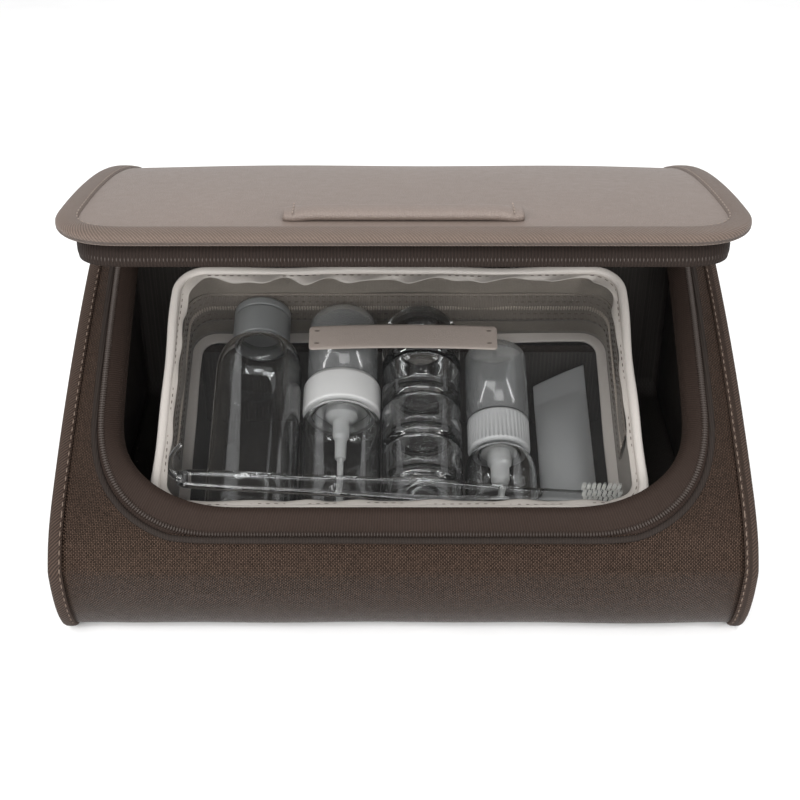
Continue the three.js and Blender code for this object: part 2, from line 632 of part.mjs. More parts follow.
// A square wire bail standing on a slider at the given height; its legs stand one behind the other along Y
function bail(height) {
  const half = BAIL_SPAN / 2;
  const leg = (y) => block(BAIL_WIDTH, BAIL_WIRE, BAIL_HEIGHT, 0, y, height + BAIL_HEIGHT / 2 - GAP / 2);
  const bar = block(BAIL_WIDTH, BAIL_SPAN + 2 * BAIL_WIRE, BAIL_WIRE,
    0, 0, height + BAIL_HEIGHT + BAIL_WIRE / 2 - GAP);
  return joined(leg(half + BAIL_WIRE / 2), leg(-half - BAIL_WIRE / 2), bar);
}

// A flat pull: its end bar lies between the bail's legs and its window goes round the leg in front
function pullTab(height) {
  const bar = BAIL_SPAN / 2 - GAP;
  const wide = BAIL_WIDTH + 2 * GAP;
  const windowLow = -PULL_WINDOW;
  const headLow = windowLow - 2 * bar;
  const headHalf = wide / 2 + 2 * bar;
  const head = roundedRectangle(-headHalf, headLow, 2 * headHalf, bar - headLow, bar);
  const tongue = roundedRectangle(-PULL_WIDTH / 2, -PULL_LENGTH, PULL_WIDTH, PULL_LENGTH + headLow + bar,
    PULL_TIP_SHARE * PULL_WIDTH);
  const window = roundedRectangle(-wide / 2, windowLow, wide, -bar - windowLow, GAP);
  return joined(raised(head, 0, PULL_WALL), raised(tongue, 0, PULL_WALL))
    .subtract(raised(window, -PULL_WALL, 2 * PULL_WALL))
    .translate([0, 0, height]);
}

// Clear pouch: two windows in bound frames, joined by a fabric gusset with a zip over the top
function buildPouch() {
  const left = POUCH_X - POUCH_WIDTH / 2;
  const rect = (shrink) => roundedRectangle(left + shrink, shrink, POUCH_WIDTH - 2 * shrink,
    POUCH_HEIGHT - 2 * shrink, POUCH_CORNER - shrink / 2);
  const frontLow = POUCH_DEPTH - FRAME_WALL;
  add(pouch, "pouch_back_film", raised(rect(FRAME_WIDTH + GAP), 0, FILM), clear);
  add(pouch, "pouch_back_frame", raised(rect(0), 0, BACK_FRAME_WALL, [rect(FRAME_WIDTH)]), whiteTrim);

  const gussetOut = GUSSET_INSET;
  const gussetLow = BACK_FRAME_WALL + GAP;
  const gussetHigh = frontLow - GAP;
  add(pouch, "pouch_gusset", raised(rect(gussetOut), gussetLow, gussetHigh,
    [rect(gussetOut + GUSSET_WALL)]), taupeTape);

  const soft = FRAME_SOFT_SHARE * FRAME_WALL;
  const frame = raised(rect(0), frontLow + soft, POUCH_DEPTH - soft, [rect(FRAME_WIDTH)]);
  const crown = raised(rect(soft), frontLow, POUCH_DEPTH, [rect(FRAME_WIDTH - soft)]);
  add(pouch, "pouch_front_frame", joined(frame, crown), whiteTrim);
  const filmLow = frontLow + FRAME_WALL / 2;
  add(pouch, "pouch_front_film", raised(rect(FRAME_WIDTH + GAP), filmLow, filmLow + FILM), clear);

  const middle = (gussetLow + gussetHigh) / 2;
  const low = block(2 * POUCH_WIDTH, 2 * ZIP_START, 2 * POUCH_WIDTH, POUCH_X, 0, 0);
  const above = (body) => body.subtract(low);
  const tapeOut = gussetOut - GAP;
  const tape = raised(rect(tapeOut - TAPE_WALL), middle - ZIP_TAPE / 2, middle + ZIP_TAPE / 2,
    [rect(tapeOut)]);
  add(pouch, "pouch_zip_tape", above(tape), taupeTape);
  const coilOut = tapeOut - TAPE_WALL - GAP;
  const coil = raised(rect(coilOut - COIL_HEIGHT), middle - ZIP_COIL / 2, middle + ZIP_COIL / 2,
    [rect(coilOut)]);
  add(pouch, "pouch_zip_coil", above(coil), whiteTrim);
  buildPouchSlider(middle, coilOut - COIL_HEIGHT);

  const plate = roundedRectangle(PLATE_X - PLATE_LENGTH / 2, PLATE_Y - PLATE_HEIGHT / 2, PLATE_LENGTH,
    PLATE_HEIGHT, PLATE_SOFT_SHARE * PLATE_HEIGHT);
  const plateLow = filmLow + FILM + GAP;
  add(pouch, "pouch_plate", raised(plate, plateLow, plateLow + PLATE_WALL), leatherette);
}

// The pouch's slider rides on the coil over the top edge, with its pull lying along the zip
function buildPouchSlider(middle, coilInset) {
  const group = new THREE.Group();
  group.position.set(POUCH_X - SLIDER_PARK_SHARE * POUCH_WIDTH, POUCH_HEIGHT - coilInset, middle);
  group.rotation.x = -Math.PI / 2;
  const inner = new THREE.Group();
  inner.rotation.z = -Math.PI / 2;
  const thick = SLIDER_HEIGHT - PULL_WALL;
  const body = block(SLIDER_WIDTH, SLIDER_LENGTH, thick, 0, 0, GAP + thick / 2);
  add(inner, "pouch_slider", joined(body, bail(GAP + thick)), metal);
  add(inner, "pouch_slider_pull", pullTab(GAP + thick + BAIL_WIRE), metal);
  group.add(inner);
  pouch.add(group);
}

// Points along a quarter turn from the wall of a body up into its neck, for a moulded shoulder
function shoulder(bodyR, neckR, y, height, steps = SHOULDER_STEPS) {
  const points = [];
  for (let i = 0; i <= steps; i++) {
    const a = (i / steps) * (Math.PI / 2);
    points.push([neckR + (bodyR - neckR) * Math.cos(a), y + height * Math.sin(a)]);
  }
  return points;
}

// A blow-moulded bottle with an open neck
function bottle(radius, body, rise, neckR, neck) {
  const foot = FOOT_SHARE * radius;
  const outer = [
    [0, 0], [radius - foot, 0], [radius, foot], ...shoulder(radius, neckR, body, rise),
    [neckR, body + rise + neck],
  ];
  const inner = [
    [neckR - WALL, body + rise + neck],
    ...shoulder(radius - WALL, neckR - WALL, body - WALL, rise).reverse(),
    [radius - WALL, foot + WALL], [radius - foot - WALL / 2, WALL], [0, WALL],
  ];
  return [...outer, ...inner];
}

function buildFlipBottle() {
  const z = BED + BOTTLE_R;
  const neckTop = SEAT + BOTTLE_BODY + BOTTLE_SHOULDER + BOTTLE_NECK;
  add(pouch, "bottle_body", turned(bottle(BOTTLE_R, BOTTLE_BODY, BOTTLE_SHOULDER, BOTTLE_NECK_R, BOTTLE_NECK),
    BOTTLE_X, SEAT, z), clear);
  const low = SEAT + BOTTLE_BODY + BOTTLE_SHOULDER + GAP;
  const capIn = BOTTLE_NECK_R + GAP;
  const deck = neckTop - low + GAP;
  const seat = FLIP_SEAT_SHARE * FLIP_R;
  const bore = FLIP_BORE_SHARE * FLIP_R;
  const cap = turned([
    [capIn, 0], [FLIP_R, 0], [FLIP_R, FLIP_BASE], [seat, FLIP_BASE], [seat, FLIP_BASE - WALL],
    [bore, FLIP_BASE - WALL], [bore, deck], [capIn, deck],
  ], BOTTLE_X, low, z);
  add(pouch, "flip_cap_base", cap, greyPlastic);
  const lidLow = low + FLIP_BASE + GAP;
  const crown = FLIP_CROWN_SHARE * FLIP_R;
  const domed = turned([[0, 0], [FLIP_R, 0], [FLIP_R, FLIP_LID / 2], [crown, FLIP_LID], [0, FLIP_LID]],
    BOTTLE_X, lidLow, z);
  const notch = block(FLIP_NOTCH_SHARE * FLIP_R, FLIP_LID, FLIP_NOTCH_DEPTH_SHARE * FLIP_R,
    BOTTLE_X, lidLow, z + FLIP_R);
  add(pouch, "flip_cap_lid", domed.subtract(notch), greyPlastic);
}

// A pump or spray engine: a stepped stem below the collar, ending in a dip tube
function engine(radii, heights, tubeEnd) {
  const profile = [[0, 0]];
  let y = 0;
  radii.forEach((r, i) => {
    profile.push([r, y]);
    y -= heights[i];
    profile.push([r, y]);
  });
  profile.push([DIP_R, y], [DIP_R, tubeEnd], [0, tubeEnd]);
  return profile;
}

function buildFoamPump() {
  const z = BED + FOAM_R;
  const top = SEAT + FOAM_BODY + FOAM_SHOULDER;
  add(pouch, "foam_bottle", turned(bottle(FOAM_R, FOAM_BODY, FOAM_SHOULDER, FOAM_NECK_R, FOAM_NECK),
    FOAM_X, SEAT, z), clear);
  const collarIn = FOAM_NECK_R + GAP;
  const stemHole = FOAM_STEM_R + GAP;
  const deck = FOAM_NECK + GAP;
  const skirt = FOAM_SKIRT_SHARE * FOAM_COLLAR;
  const sleeveR = FOAM_HEAD_R - WALL - 2 * GAP;
  const collar = [
    [collarIn, 0], [FOAM_COLLAR_R, 0], [FOAM_COLLAR_R, FOAM_EDGE_SHARE * FOAM_COLLAR],
    [FOAM_COLLAR_R - WALL, skirt], [sleeveR, skirt], [sleeveR, FOAM_COLLAR], [stemHole, FOAM_COLLAR],
    [stemHole, deck], [collarIn, deck],
  ];
  const low = top + GAP;
  add(pouch, "foam_collar", turned(collar, FOAM_X, low, z), whitePlastic);
  const engineR = FOAM_NECK_R - WALL - GAP;
  const parts = engine([engineR, ...FOAM_ENGINE_R], [FOAM_NECK / 2, ...FOAM_ENGINE_H],
    SEAT + WALL + GAP - (low + deck - GAP));
  add(pouch, "foam_engine", turned(parts, FOAM_X, low + deck - GAP, z, ENGINE_STEPS), whitePlastic);

  const headLow = low + skirt + FOAM_TRAVEL + GAP;
  const cavity = FOAM_COLLAR - skirt + GAP;
  const stem = deck + FOAM_TRAVEL + 2 * GAP - (headLow - low);
  const head = turned([
    [0, stem], [FOAM_STEM_R, stem], [FOAM_STEM_R, cavity], [FOAM_HEAD_R - WALL, cavity],
    [FOAM_HEAD_R - WALL, 0], [FOAM_HEAD_R, 0], [FOAM_HEAD_R, HEAD_WAIST_SHARE * FOAM_HEAD],
    [HEAD_TOP_SHARE * FOAM_HEAD_R, HEAD_CROWN_SHARE * FOAM_HEAD], [0, FOAM_HEAD],
  ], FOAM_X, headLow, z);
  const spout = block(2 * FOAM_SPOUT, FOAM_SPOUT, FOAM_HEAD_R + FOAM_SPOUT / 2,
    FOAM_X, headLow + SPOUT_SHARE * FOAM_HEAD, z + FOAM_HEAD_R / 2 + FOAM_SPOUT / 4);
  add(pouch, "foam_pump_head", joined(head, spout), whitePlastic);

  const capLow = low + skirt + GAP;
  const capHigh = FOAM_CAP_TOP - capLow;
  const capR = FOAM_CAP_R;
  const dome = FOAM_DOME_SHARE * capR;
  const overcap = [
    [capR - WALL, 0], [capR, 0], ...shoulder(capR, 0, capHigh - dome, dome),
    ...shoulder(capR - WALL, 0, capHigh - dome - WALL, dome).reverse(),
  ];
  add(pouch, "foam_overcap", turned(overcap, FOAM_X, capLow, z), frosted);
}

// Screw-together jars: each one's neck stands in the skirt of the jar above
function buildJars() {
  const z = BED + JAR_R;
  const recess = JAR_NECK + GAP;
  const skirtR = JAR_NECK_R + GAP;
  const soft = SOFT_SHARE * JAR_R;
  for (let i = 0; i < JAR_COUNT; i++) {
    const skirt = i === 0 ? [[0, 0]] : [[0, recess], [skirtR, recess], [skirtR, 0]];
    const floor = i === 0 ? JAR_FLOOR : recess + JAR_FLOOR;
    const jar = [
      ...skirt, [JAR_R - soft, 0], [JAR_R, soft], [JAR_R, JAR_PITCH - soft - GAP],
      [JAR_R - soft, JAR_PITCH - GAP], [JAR_NECK_R, JAR_PITCH - GAP], [JAR_NECK_R, JAR_PITCH + JAR_NECK - GAP],
      [JAR_NECK_R - WALL, JAR_PITCH + JAR_NECK - GAP], [JAR_NECK_R - WALL, floor], [0, floor],
    ];
    add(pouch, `jar_${i + 1}`, turned(jar, JAR_X, SEAT + i * JAR_PITCH, z), clear);
  }
  const straight = JAR_LID * JAR_LID_SHARE;
  const lidProfile = [
    [0, recess], [skirtR, recess], [skirtR, 0], [JAR_R - soft, 0], [JAR_R, soft], [JAR_R, straight],
    ...shoulder(JAR_R, 0, straight, JAR_LID - straight).slice(1),
  ];
  add(pouch, "jar_lid", turned(lidProfile, JAR_X, SEAT + JAR_COUNT * JAR_PITCH, z), clear);
}

function buildSpray() {
  const z = BED + SPRAY_R;
  const top = SEAT + SPRAY_BODY + SPRAY_SHOULDER;
  add(pouch, "spray_bottle", turned(bottle(SPRAY_R, SPRAY_BODY, SPRAY_SHOULDER, SPRAY_NECK_R, SPRAY_NECK),
    SPRAY_X, SEAT, z), clear);
  const low = top + GAP;
  const collarIn = SPRAY_NECK_R + GAP;
  const deck = SPRAY_NECK + GAP;
  const stemHole = SPRAY_STEM_R + GAP;
  const step = SPRAY_STEP_SHARE * SPRAY_COLLAR;
  const sleeveR = SPRAY_HEAD_R - WALL - 2 * GAP;
  const core = turned([
    [collarIn, 0], [SPRAY_COLLAR_R - RIB_DEPTH, 0], [SPRAY_COLLAR_R - RIB_DEPTH, step], [sleeveR, step],
    [sleeveR, SPRAY_COLLAR], [stemHole, SPRAY_COLLAR], [stemHole, deck], [collarIn, deck],
  ], SPRAY_X, low, z, 2 * SPRAY_RIBS);
  const ridge = [];
  for (let i = 0; i < 2 * SPRAY_RIBS; i++) {
    const a = (i / SPRAY_RIBS) * Math.PI;
    const r = i % 2 ? SPRAY_COLLAR_R - RIB_VALLEY : SPRAY_COLLAR_R;
    ridge.push(new THREE.Vector2(r * Math.cos(a), r * Math.sin(a)));
  }
  const hole = ridge.map((p) => p.clone().multiplyScalar((collarIn + RIB_DEPTH) / SPRAY_COLLAR_R));
  const ribs = geometryOf(raised(ridge, 0, RIB_LENGTH_SHARE * step, [hole]));
  ribs.rotateX(-Math.PI / 2);
  ribs.translate(SPRAY_X, low + RIB_START_SHARE * step, z);
  add(pouch, "spray_collar", joined(core, solid(ribs)), whitePlastic);

  const engineR = SPRAY_NECK_R - WALL - GAP;
  const parts = engine([engineR, ...SPRAY_ENGINE_R], [SPRAY_NECK, ...SPRAY_ENGINE_H],
    SEAT + WALL + GAP - (low + deck - GAP));
  add(pouch, "spray_engine", turned(parts, SPRAY_X, low + deck - GAP, z, ENGINE_STEPS), whitePlastic);

  const headLow = low + step + SPRAY_TRAVEL + GAP;
  const cavity = SPRAY_COLLAR - step + GAP;
  const stem = deck + SPRAY_TRAVEL + 2 * GAP - (headLow - low);
  const head = turned([
    [0, stem], [SPRAY_STEM_R, stem], [SPRAY_STEM_R, cavity], [SPRAY_HEAD_R - WALL, cavity],
    [SPRAY_HEAD_R - WALL, 0], [SPRAY_HEAD_R, 0], [SPRAY_WAIST_R, HEAD_WAIST_SHARE * SPRAY_HEAD],
    [HEAD_TOP_SHARE * SPRAY_HEAD_R, SPRAY_HEAD], [0, SPRAY_HEAD],
  ], SPRAY_X, headLow, z);
  const nozzle = new THREE.CylinderGeometry(WALL, WALL, SPRAY_HEAD_R, NOZZLE_STEPS);
  nozzle.rotateX(Math.PI / 2);
  nozzle.translate(SPRAY_X, headLow + SPOUT_SHARE * SPRAY_HEAD, z + SPRAY_HEAD_R / 2 + WALL);
  add(pouch, "spray_head", joined(head, solid(nozzle)), whitePlastic);

  const capLow = low + step + GAP;
  const capHigh = SPRAY_CAP_TOP - capLow;
  const dome = SPRAY_DOME_SHARE * SPRAY_CAP_R;
  const overcap = [
    [SPRAY_CAP_R - WALL, 0], [SPRAY_CAP_R, 0], ...shoulder(SPRAY_CAP_R, 0, capHigh - dome, dome),
    ...shoulder(SPRAY_CAP_R - WALL, 0, capHigh - dome - WALL, dome).reverse(),
  ];
  add(pouch, "spray_overcap", turned(overcap, SPRAY_X, capLow, z), frosted);
}

// A squeeze tube: round at its cap, pressed flat at a slanting sealed end
function buildTube() {
  const z = BED + TUBE_HALF;
  const capLow = SEAT;
  const start = capLow + TUBE_CAP + GAP;
  const around = TUBE_AROUND;
  const rings = TUBE_RINGS;
  const places = [];
  const faces = [];
  for (let j = 0; j <= rings; j++) {
    const t = j / rings;
    const pressed = Math.min(1, t / TUBE_PRESS_SHARE) ** TUBE_PRESS_POWER;
    const deep = TUBE_HALF + (TUBE_CRIMP_HALF - TUBE_HALF) * pressed;
    const backward = (TUBE_HALF - deep) / 2;
    for (let i = 0; i < around; i++) {
      const a = (i / around) * 2 * Math.PI;
      const slant = (TUBE_TOP_HIGH - TUBE_TOP_LOW) * t * (1 + Math.cos(a)) / 2;
      places.push(
        TUBE_X + TUBE_HALF * Math.cos(a),
        start + t * (TUBE_TOP_LOW - start) + slant,
        z - backward + deep * Math.sin(a),
      );
    }
  }
  const ringAt = (j, i) => j * around + (i % around);
  for (let j = 0; j < rings; j++)
    for (let i = 0; i < around; i++) {
      faces.push(ringAt(j, i), ringAt(j + 1, i), ringAt(j + 1, i + 1));
      faces.push(ringAt(j, i), ringAt(j + 1, i + 1), ringAt(j, i + 1));
    }
  for (let i = 1; i < around - 1; i++) {
    faces.push(ringAt(0, 0), ringAt(0, i), ringAt(0, i + 1));
    faces.push(ringAt(rings, 0), ringAt(rings, i + 1), ringAt(rings, i));
  }
  const geometry = new THREE.BufferGeometry();
  geometry.setAttribute("position", new THREE.Float32BufferAttribute(places, 3));
  geometry.setIndex(faces);
  add(pouch, "tube_body", solid(geometry), frosted);
  const soft = SOFT_SHARE * TUBE_CAP_R;
  add(pouch, "tube_cap", turned([
    [0, 0], [TUBE_CAP_R - soft, 0], [TUBE_CAP_R, soft], [TUBE_CAP_R, TUBE_CAP], [0, TUBE_CAP],
  ], TUBE_X, capLow, z), greyPlastic);
}

// A clear toothbrush lying across the bottles; its tufts point at the front window
function buildToothbrush() {
  const group = new THREE.Group();
  group.position.set(BRUSH_START, 0, BRUSH_Z);
  group.rotation.y = (BRUSH_DROP_DEG * Math.PI) / 180;
  const length = BRUSH_END - BRUSH_START;
  const headStart = BRUSH_HEAD_START - BRUSH_START;
  const headShare = headStart / length;
  const shares = [...BRUSH_PLACES_SHARES, headShare, (headShare + 1) / 2, 1];
  const halves = [BRUSH_END_HALF, BRUSH_GRIP_HALF, BRUSH_GRIP_HALF, BRUSH_THUMB_HALF, BRUSH_SHANK_HALF,
    BRUSH_NECK_HALF, BRUSH_HEAD_HALF, BRUSH_TIP_HALF];
  const middle = (share) => BRUSH_GRIP_Y + (BRUSH_HEAD_Y - BRUSH_GRIP_Y) * share;
  const edge = (sign) => new THREE.SplineCurve(
    shares.map((s, i) => new THREE.Vector2(s * length, middle(s) + sign * halves[i]))).getPoints(BRUSH_STEPS);
  const outline = [...edge(-1), ...edge(1).reverse()];
  const soft = BRUSH_SOFT_SHARE * BRUSH_WALL;
  const shape = new THREE.Shape(outline);
  const handle = new THREE.ExtrudeGeometry(shape, {
    depth: BRUSH_WALL - 2 * soft, bevelThickness: soft, bevelSize: soft, bevelOffset: -soft, bevelSegments: 2,
  });
  handle.translate(0, 0, soft - BRUSH_WALL / 2);
  add(group, "toothbrush_handle", solid(handle), clear);

  const first = headStart + (length - headStart - (TUFT_COLUMNS - 1) * TUFT_PITCH) / 2;
  const footing = block(TUFT_COLUMNS * TUFT_PITCH, TUFT_ROWS * TUFT_ROW_PITCH, GAP,
    first + ((TUFT_COLUMNS - 1) * TUFT_PITCH) / 2, BRUSH_HEAD_Y, BRUSH_WALL / 2 + GAP + GAP / 2);
  let tufts = footing;
  for (let c = 0; c < TUFT_COLUMNS; c++)
    for (let r = 0; r < TUFT_ROWS; r++) {
      const tuft = new THREE.CylinderGeometry(TUFT_R, TUFT_R, TUFT_LENGTH, TUFT_STEPS);
      tuft.rotateX(Math.PI / 2);
      tuft.translate(first + c * TUFT_PITCH, BRUSH_HEAD_Y + (r - (TUFT_ROWS - 1) / 2) * TUFT_ROW_PITCH,
        BRUSH_WALL / 2 + GAP + TUFT_LENGTH / 2);
      tufts = tufts.add(solid(tuft));
    }
  add(group, "toothbrush_tufts", tufts, clear);
  pouch.add(group);
}

buildBag();
buildPocket();
buildHinge();
buildSlider("left", -1);
buildSlider("right", 1);
buildLid();
lid.children.forEach((mesh) => mesh.geometry.translate(0, -HINGE_Y, -HINGE_Z));
lid.position.set(0, HINGE_Y, HINGE_Z);
lid.rotation.x = (-LID_OPEN_DEG * Math.PI) / 180;
buildPouch();
buildFlipBottle();
buildFoamPump();
buildJars();
buildSpray();
buildTube();
buildToothbrush();
pouch.position.set(0, POUCH_Y, FLOOR_IN + GAP);
pouch.rotation.x = (POUCH_LEAN_DEG * Math.PI) / 180;

const part = new THREE.Group();
part.add(bag, lid, pouch);
export default part;
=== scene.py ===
# %% [markdown]
# # A travel wash bag with a clear pouch of bottles
# This notebook dresses a packed mechanical model with its real looks. The frame comes first. Every new
# piece is made where the frame has its node, is about as large as that node, and rides on one of the
# frame's bodies.

import json
import math

import bmesh
import bpy
import numpy as np
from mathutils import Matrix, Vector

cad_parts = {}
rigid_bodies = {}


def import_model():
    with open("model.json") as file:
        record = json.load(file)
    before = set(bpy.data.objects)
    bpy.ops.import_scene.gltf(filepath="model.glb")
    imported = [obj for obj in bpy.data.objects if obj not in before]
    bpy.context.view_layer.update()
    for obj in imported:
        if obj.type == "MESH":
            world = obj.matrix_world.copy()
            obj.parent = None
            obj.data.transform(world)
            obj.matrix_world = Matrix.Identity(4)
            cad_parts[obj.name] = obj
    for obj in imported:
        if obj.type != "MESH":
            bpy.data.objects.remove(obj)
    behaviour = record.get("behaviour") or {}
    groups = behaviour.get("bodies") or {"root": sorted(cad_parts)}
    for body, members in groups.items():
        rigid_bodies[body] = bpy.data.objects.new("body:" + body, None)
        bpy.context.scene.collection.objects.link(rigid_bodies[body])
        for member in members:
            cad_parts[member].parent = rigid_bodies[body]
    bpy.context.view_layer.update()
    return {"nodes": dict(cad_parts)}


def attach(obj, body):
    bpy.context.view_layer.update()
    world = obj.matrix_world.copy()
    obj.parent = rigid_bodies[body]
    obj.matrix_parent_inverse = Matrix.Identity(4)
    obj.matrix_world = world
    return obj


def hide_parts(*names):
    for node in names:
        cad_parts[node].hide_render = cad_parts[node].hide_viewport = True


for leftover in list(bpy.data.objects):
    bpy.data.objects.remove(leftover)
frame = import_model()
MM = 0.001  # a millimetre in metres
POLE_WELD = 0.001  # mm, under which the points at a turned piece's pole become one
print(len(frame["nodes"]), "nodes in the frame")

# %% [markdown]
# ## Camera and light
# The camera is fitted to the photograph: about 60 cm away and looking down by 34 degrees. One small lamp
# would draw hard shadows, so broad area lamps give the soft light of a product shot instead. Two tall,
# narrow ones at the sides are there for the gloss of the clear bottles. The world is white only to the
# camera, to gloss and to glass. On everything else it is a weak light, so that the colours stay about as
# they are written.

# %% Camera
EYE = np.array([-1.2, -494.4, 390.4])
EYE_PITCH = math.radians(34)
camera_data = bpy.data.cameras.new("camera")
camera_data.lens = 62.55
camera_data.sensor_width = 36
camera_data.clip_start, camera_data.clip_end = 0.01, 20
camera = bpy.data.objects.new("camera", camera_data)
camera.location = EYE * MM
camera.rotation_euler = (math.pi / 2 - EYE_PITCH, 0, 0)
bpy.context.scene.collection.objects.link(camera)
bpy.context.scene.camera = camera

# %% Lamps and world
bpy.context.scene.view_settings.view_transform = "Standard"


def area_lamp(name, place, target, size, watts):
    """An oblong lamp at a place in metres, with its -Z axis towards the target. size is its width and
    height."""
    lamp = bpy.data.lights.new(name, "AREA")
    lamp.energy, lamp.shape = watts, "RECTANGLE"
    lamp.size, lamp.size_y = size
    obj = bpy.data.objects.new(name, lamp)
    back = Vector(place) - Vector(target)
    obj.location = place
    obj.rotation_euler = back.to_track_quat("Z", "Y").to_euler()
    bpy.context.scene.collection.objects.link(obj)


area_lamp("key_lamp", (-0.45, -0.85, 1.05), (0, 0, 0.06), (0.7, 0.7), 10.0)
area_lamp("top_lamp", (0.15, 0.12, 1.35), (0, 0, 0.1), (1.0, 0.9), 11.0)
area_lamp("front_lamp", (0.1, -1.15, 0.62), (0, 0, 0.06), (0.6, 0.35), 4.5)
area_lamp("left_strip", (-0.8, -0.75, 0.5), (0, 0, 0.05), (0.1, 0.9), 6.0)
area_lamp("right_strip", (0.8, -0.75, 0.5), (0, 0, 0.05), (0.1, 0.9), 6.0)


def maths(tree, operation, first, second=None, third=None):
    """One math node on sockets or numbers, giving its output socket."""
    node = tree.nodes.new("ShaderNodeMath")
    node.operation = operation
    for k, value in enumerate((first, second, third)):
        if value is None:
            continue
        if isinstance(value, (int, float)):
            node.inputs[k].default_value = value
        else:
            tree.links.new(value, node.inputs[k])
    return node.outputs[0]


def white_world():
    """Plain white for what the camera, mirrors and glass see, and a soft grey light on everything else."""
    world = bpy.data.worlds.new("studio")
    bpy.context.scene.world = world
    world.use_nodes = True
    nodes, links = world.node_tree.nodes, world.node_tree.links
    nodes.clear()
    ray = nodes.new("ShaderNodeLightPath")
    light = nodes.new("ShaderNodeBackground")
    light.inputs["Color"].default_value = (1, 1, 1, 1)
    light.inputs["Strength"].default_value = 0.4
    seen = nodes.new("ShaderNodeBackground")
    seen.inputs["Color"].default_value = (1, 1, 1, 1)
    seen.inputs["Strength"].default_value = 1.0
    mix = nodes.new("ShaderNodeMixShader")
    out = nodes.new("ShaderNodeOutputWorld")
    seen_by = maths(world.node_tree, "MAXIMUM", ray.outputs["Is Camera Ray"], ray.outputs["Is Glossy Ray"])
    seen_by = maths(world.node_tree, "MAXIMUM", seen_by, ray.outputs["Is Transmission Ray"])
    links.new(seen_by, mix.inputs[0])
    links.new(light.outputs[0], mix.inputs[1])
    links.new(seen.outputs[0], mix.inputs[2])
    links.new(mix.outputs[0], out.inputs["Surface"])


white_world()

# %% [markdown]
# ## Surfaces from arrays
# A sewn or moulded piece could be modelled by hand from a cube. Here every new piece is a grid of points
# worked out with numpy instead, because then each shape is a formula with sizes in it, and can be changed
# by them. It is a profile carried along a path, a profile turned about an axis, or a function of two
# parameters. One helper turns such a grid into a mesh in a single call, so no loop runs over a mesh's
# vertices. Sizes are in millimetres, and become metres in that helper.


# %% Grids
def make(name, points, faces, uv=None):
    """A mesh object from points in millimetres and a list or array of faces. uv gives one pair per
    point."""
    mesh = bpy.data.meshes.new(name)
    faces = faces.tolist() if isinstance(faces, np.ndarray) else faces
    mesh.from_pydata((np.asarray(points, float) * MM).tolist(), [], faces)
    mesh.polygons.foreach_set("use_smooth", np.ones(len(mesh.polygons), bool))
    if uv is not None:
        loops = np.zeros(len(mesh.loops), int)
        mesh.loops.foreach_get("vertex_index", loops)
        layer = mesh.uv_layers.new(name="UVMap")
        layer.data.foreach_set("uv", np.asarray(uv, float)[loops].ravel())
    mesh.update()
    obj = bpy.data.objects.new(name, mesh)
    bpy.context.scene.collection.objects.link(obj)
    return obj


def grid_faces(rows, columns, round_rows=False, round_columns=False):
    """Quads of a grid whose point (i, j) has number i * columns + j. A round way closes on itself."""
    i = np.arange(rows if round_rows else rows - 1)[:, None]
    j = np.arange(columns if round_columns else columns - 1)[None, :]
    i2, j2 = (i + 1) % rows, (j + 1) % columns
    quads = np.stack([i * columns + j, i2 * columns + j, i2 * columns + j2, i * columns + j2], -1)
    return quads.reshape(-1, 4)


def outwards(obj, merge=0.0):
    """Welds doubles and turns all faces out."""
    cells = bmesh.new()
    cells.from_mesh(obj.data)
    if merge:
        bmesh.ops.remove_doubles(cells, verts=cells.verts, dist=merge * MM)
    bmesh.ops.recalc_face_normals(cells, faces=cells.faces)
    cells.to_mesh(obj.data)
    cells.free()
    return obj


def grid(name, points, round_rows=False, round_columns=False, uv=None, caps=False):
    """A mesh from an array of rows by columns of points. caps closes both ends of a tube of round
    columns."""
    rows, columns = points.shape[:2]
    flat = points.reshape(-1, 3)
    faces = grid_faces(rows, columns, round_rows, round_columns).tolist()
    if caps:
        faces += [list(range(columns)), list(range((rows - 1) * columns, rows * columns))[::-1]]
    return make(name, flat, faces, None if uv is None else uv.reshape(-1, 2))


# %% Turned profiles
def turned(name, profile, centre, steps, matrix):
    """A profile of (radius, height) pairs spun about the height axis: point = centre + (r cos a, h, r sin
    a), taken through a matrix."""
    profile = np.asarray(profile, float)
    angle = np.linspace(0, 2 * np.pi, steps, endpoint=False)
    ring = np.stack([np.cos(angle), np.zeros(steps), np.sin(angle)], -1)
    points = profile[:, None, :1] * ring[None] + profile[:, None, 1:] * np.array([0.0, 1.0, 0.0])
    points = moved(points + np.asarray(centre, float), matrix)
    return outwards(grid(name, points, round_columns=True), merge=POLE_WELD)


def rounded(profile, radius, steps=5, closed=False):
    """A polyline with each corner b replaced by the curve (1-t)^2 start + 2 t (1-t) b + t^2 end, whose ends
    lie a radius away from the corner, or 0.45 of the shorter edge where that is less."""
    p = np.asarray(profile, float)
    out = []
    count = len(p)
    for k in range(count):
        if not closed and k in (0, count - 1):
            out.append(p[k][None])
            continue
        a, b, c = p[k - 1], p[k], p[(k + 1) % count]
        to_a, to_c = np.linalg.norm(a - b), np.linalg.norm(c - b)
        r = min(radius, 0.45 * to_a, 0.45 * to_c)
        start, end = b + (a - b) / to_a * r, b + (c - b) / to_c * r
        t = np.linspace(0, 1, steps + 1)[:, None]
        out.append((1 - t) ** 2 * start + 2 * t * (1 - t) * b + t**2 * end)
    return np.concatenate(out)


def moved(points, matrix):
    """Points of any array shape taken through a 4 by 4 matrix."""
    return points @ matrix[:3, :3].T + matrix[:3, 3]


# %% Paths
def distance_along(path):
    """The length run along a polyline at each of its points: 0, then the sum of the steps so far."""
    return np.concatenate([[0], np.cumsum(np.linalg.norm(np.diff(path, axis=0), axis=1))])


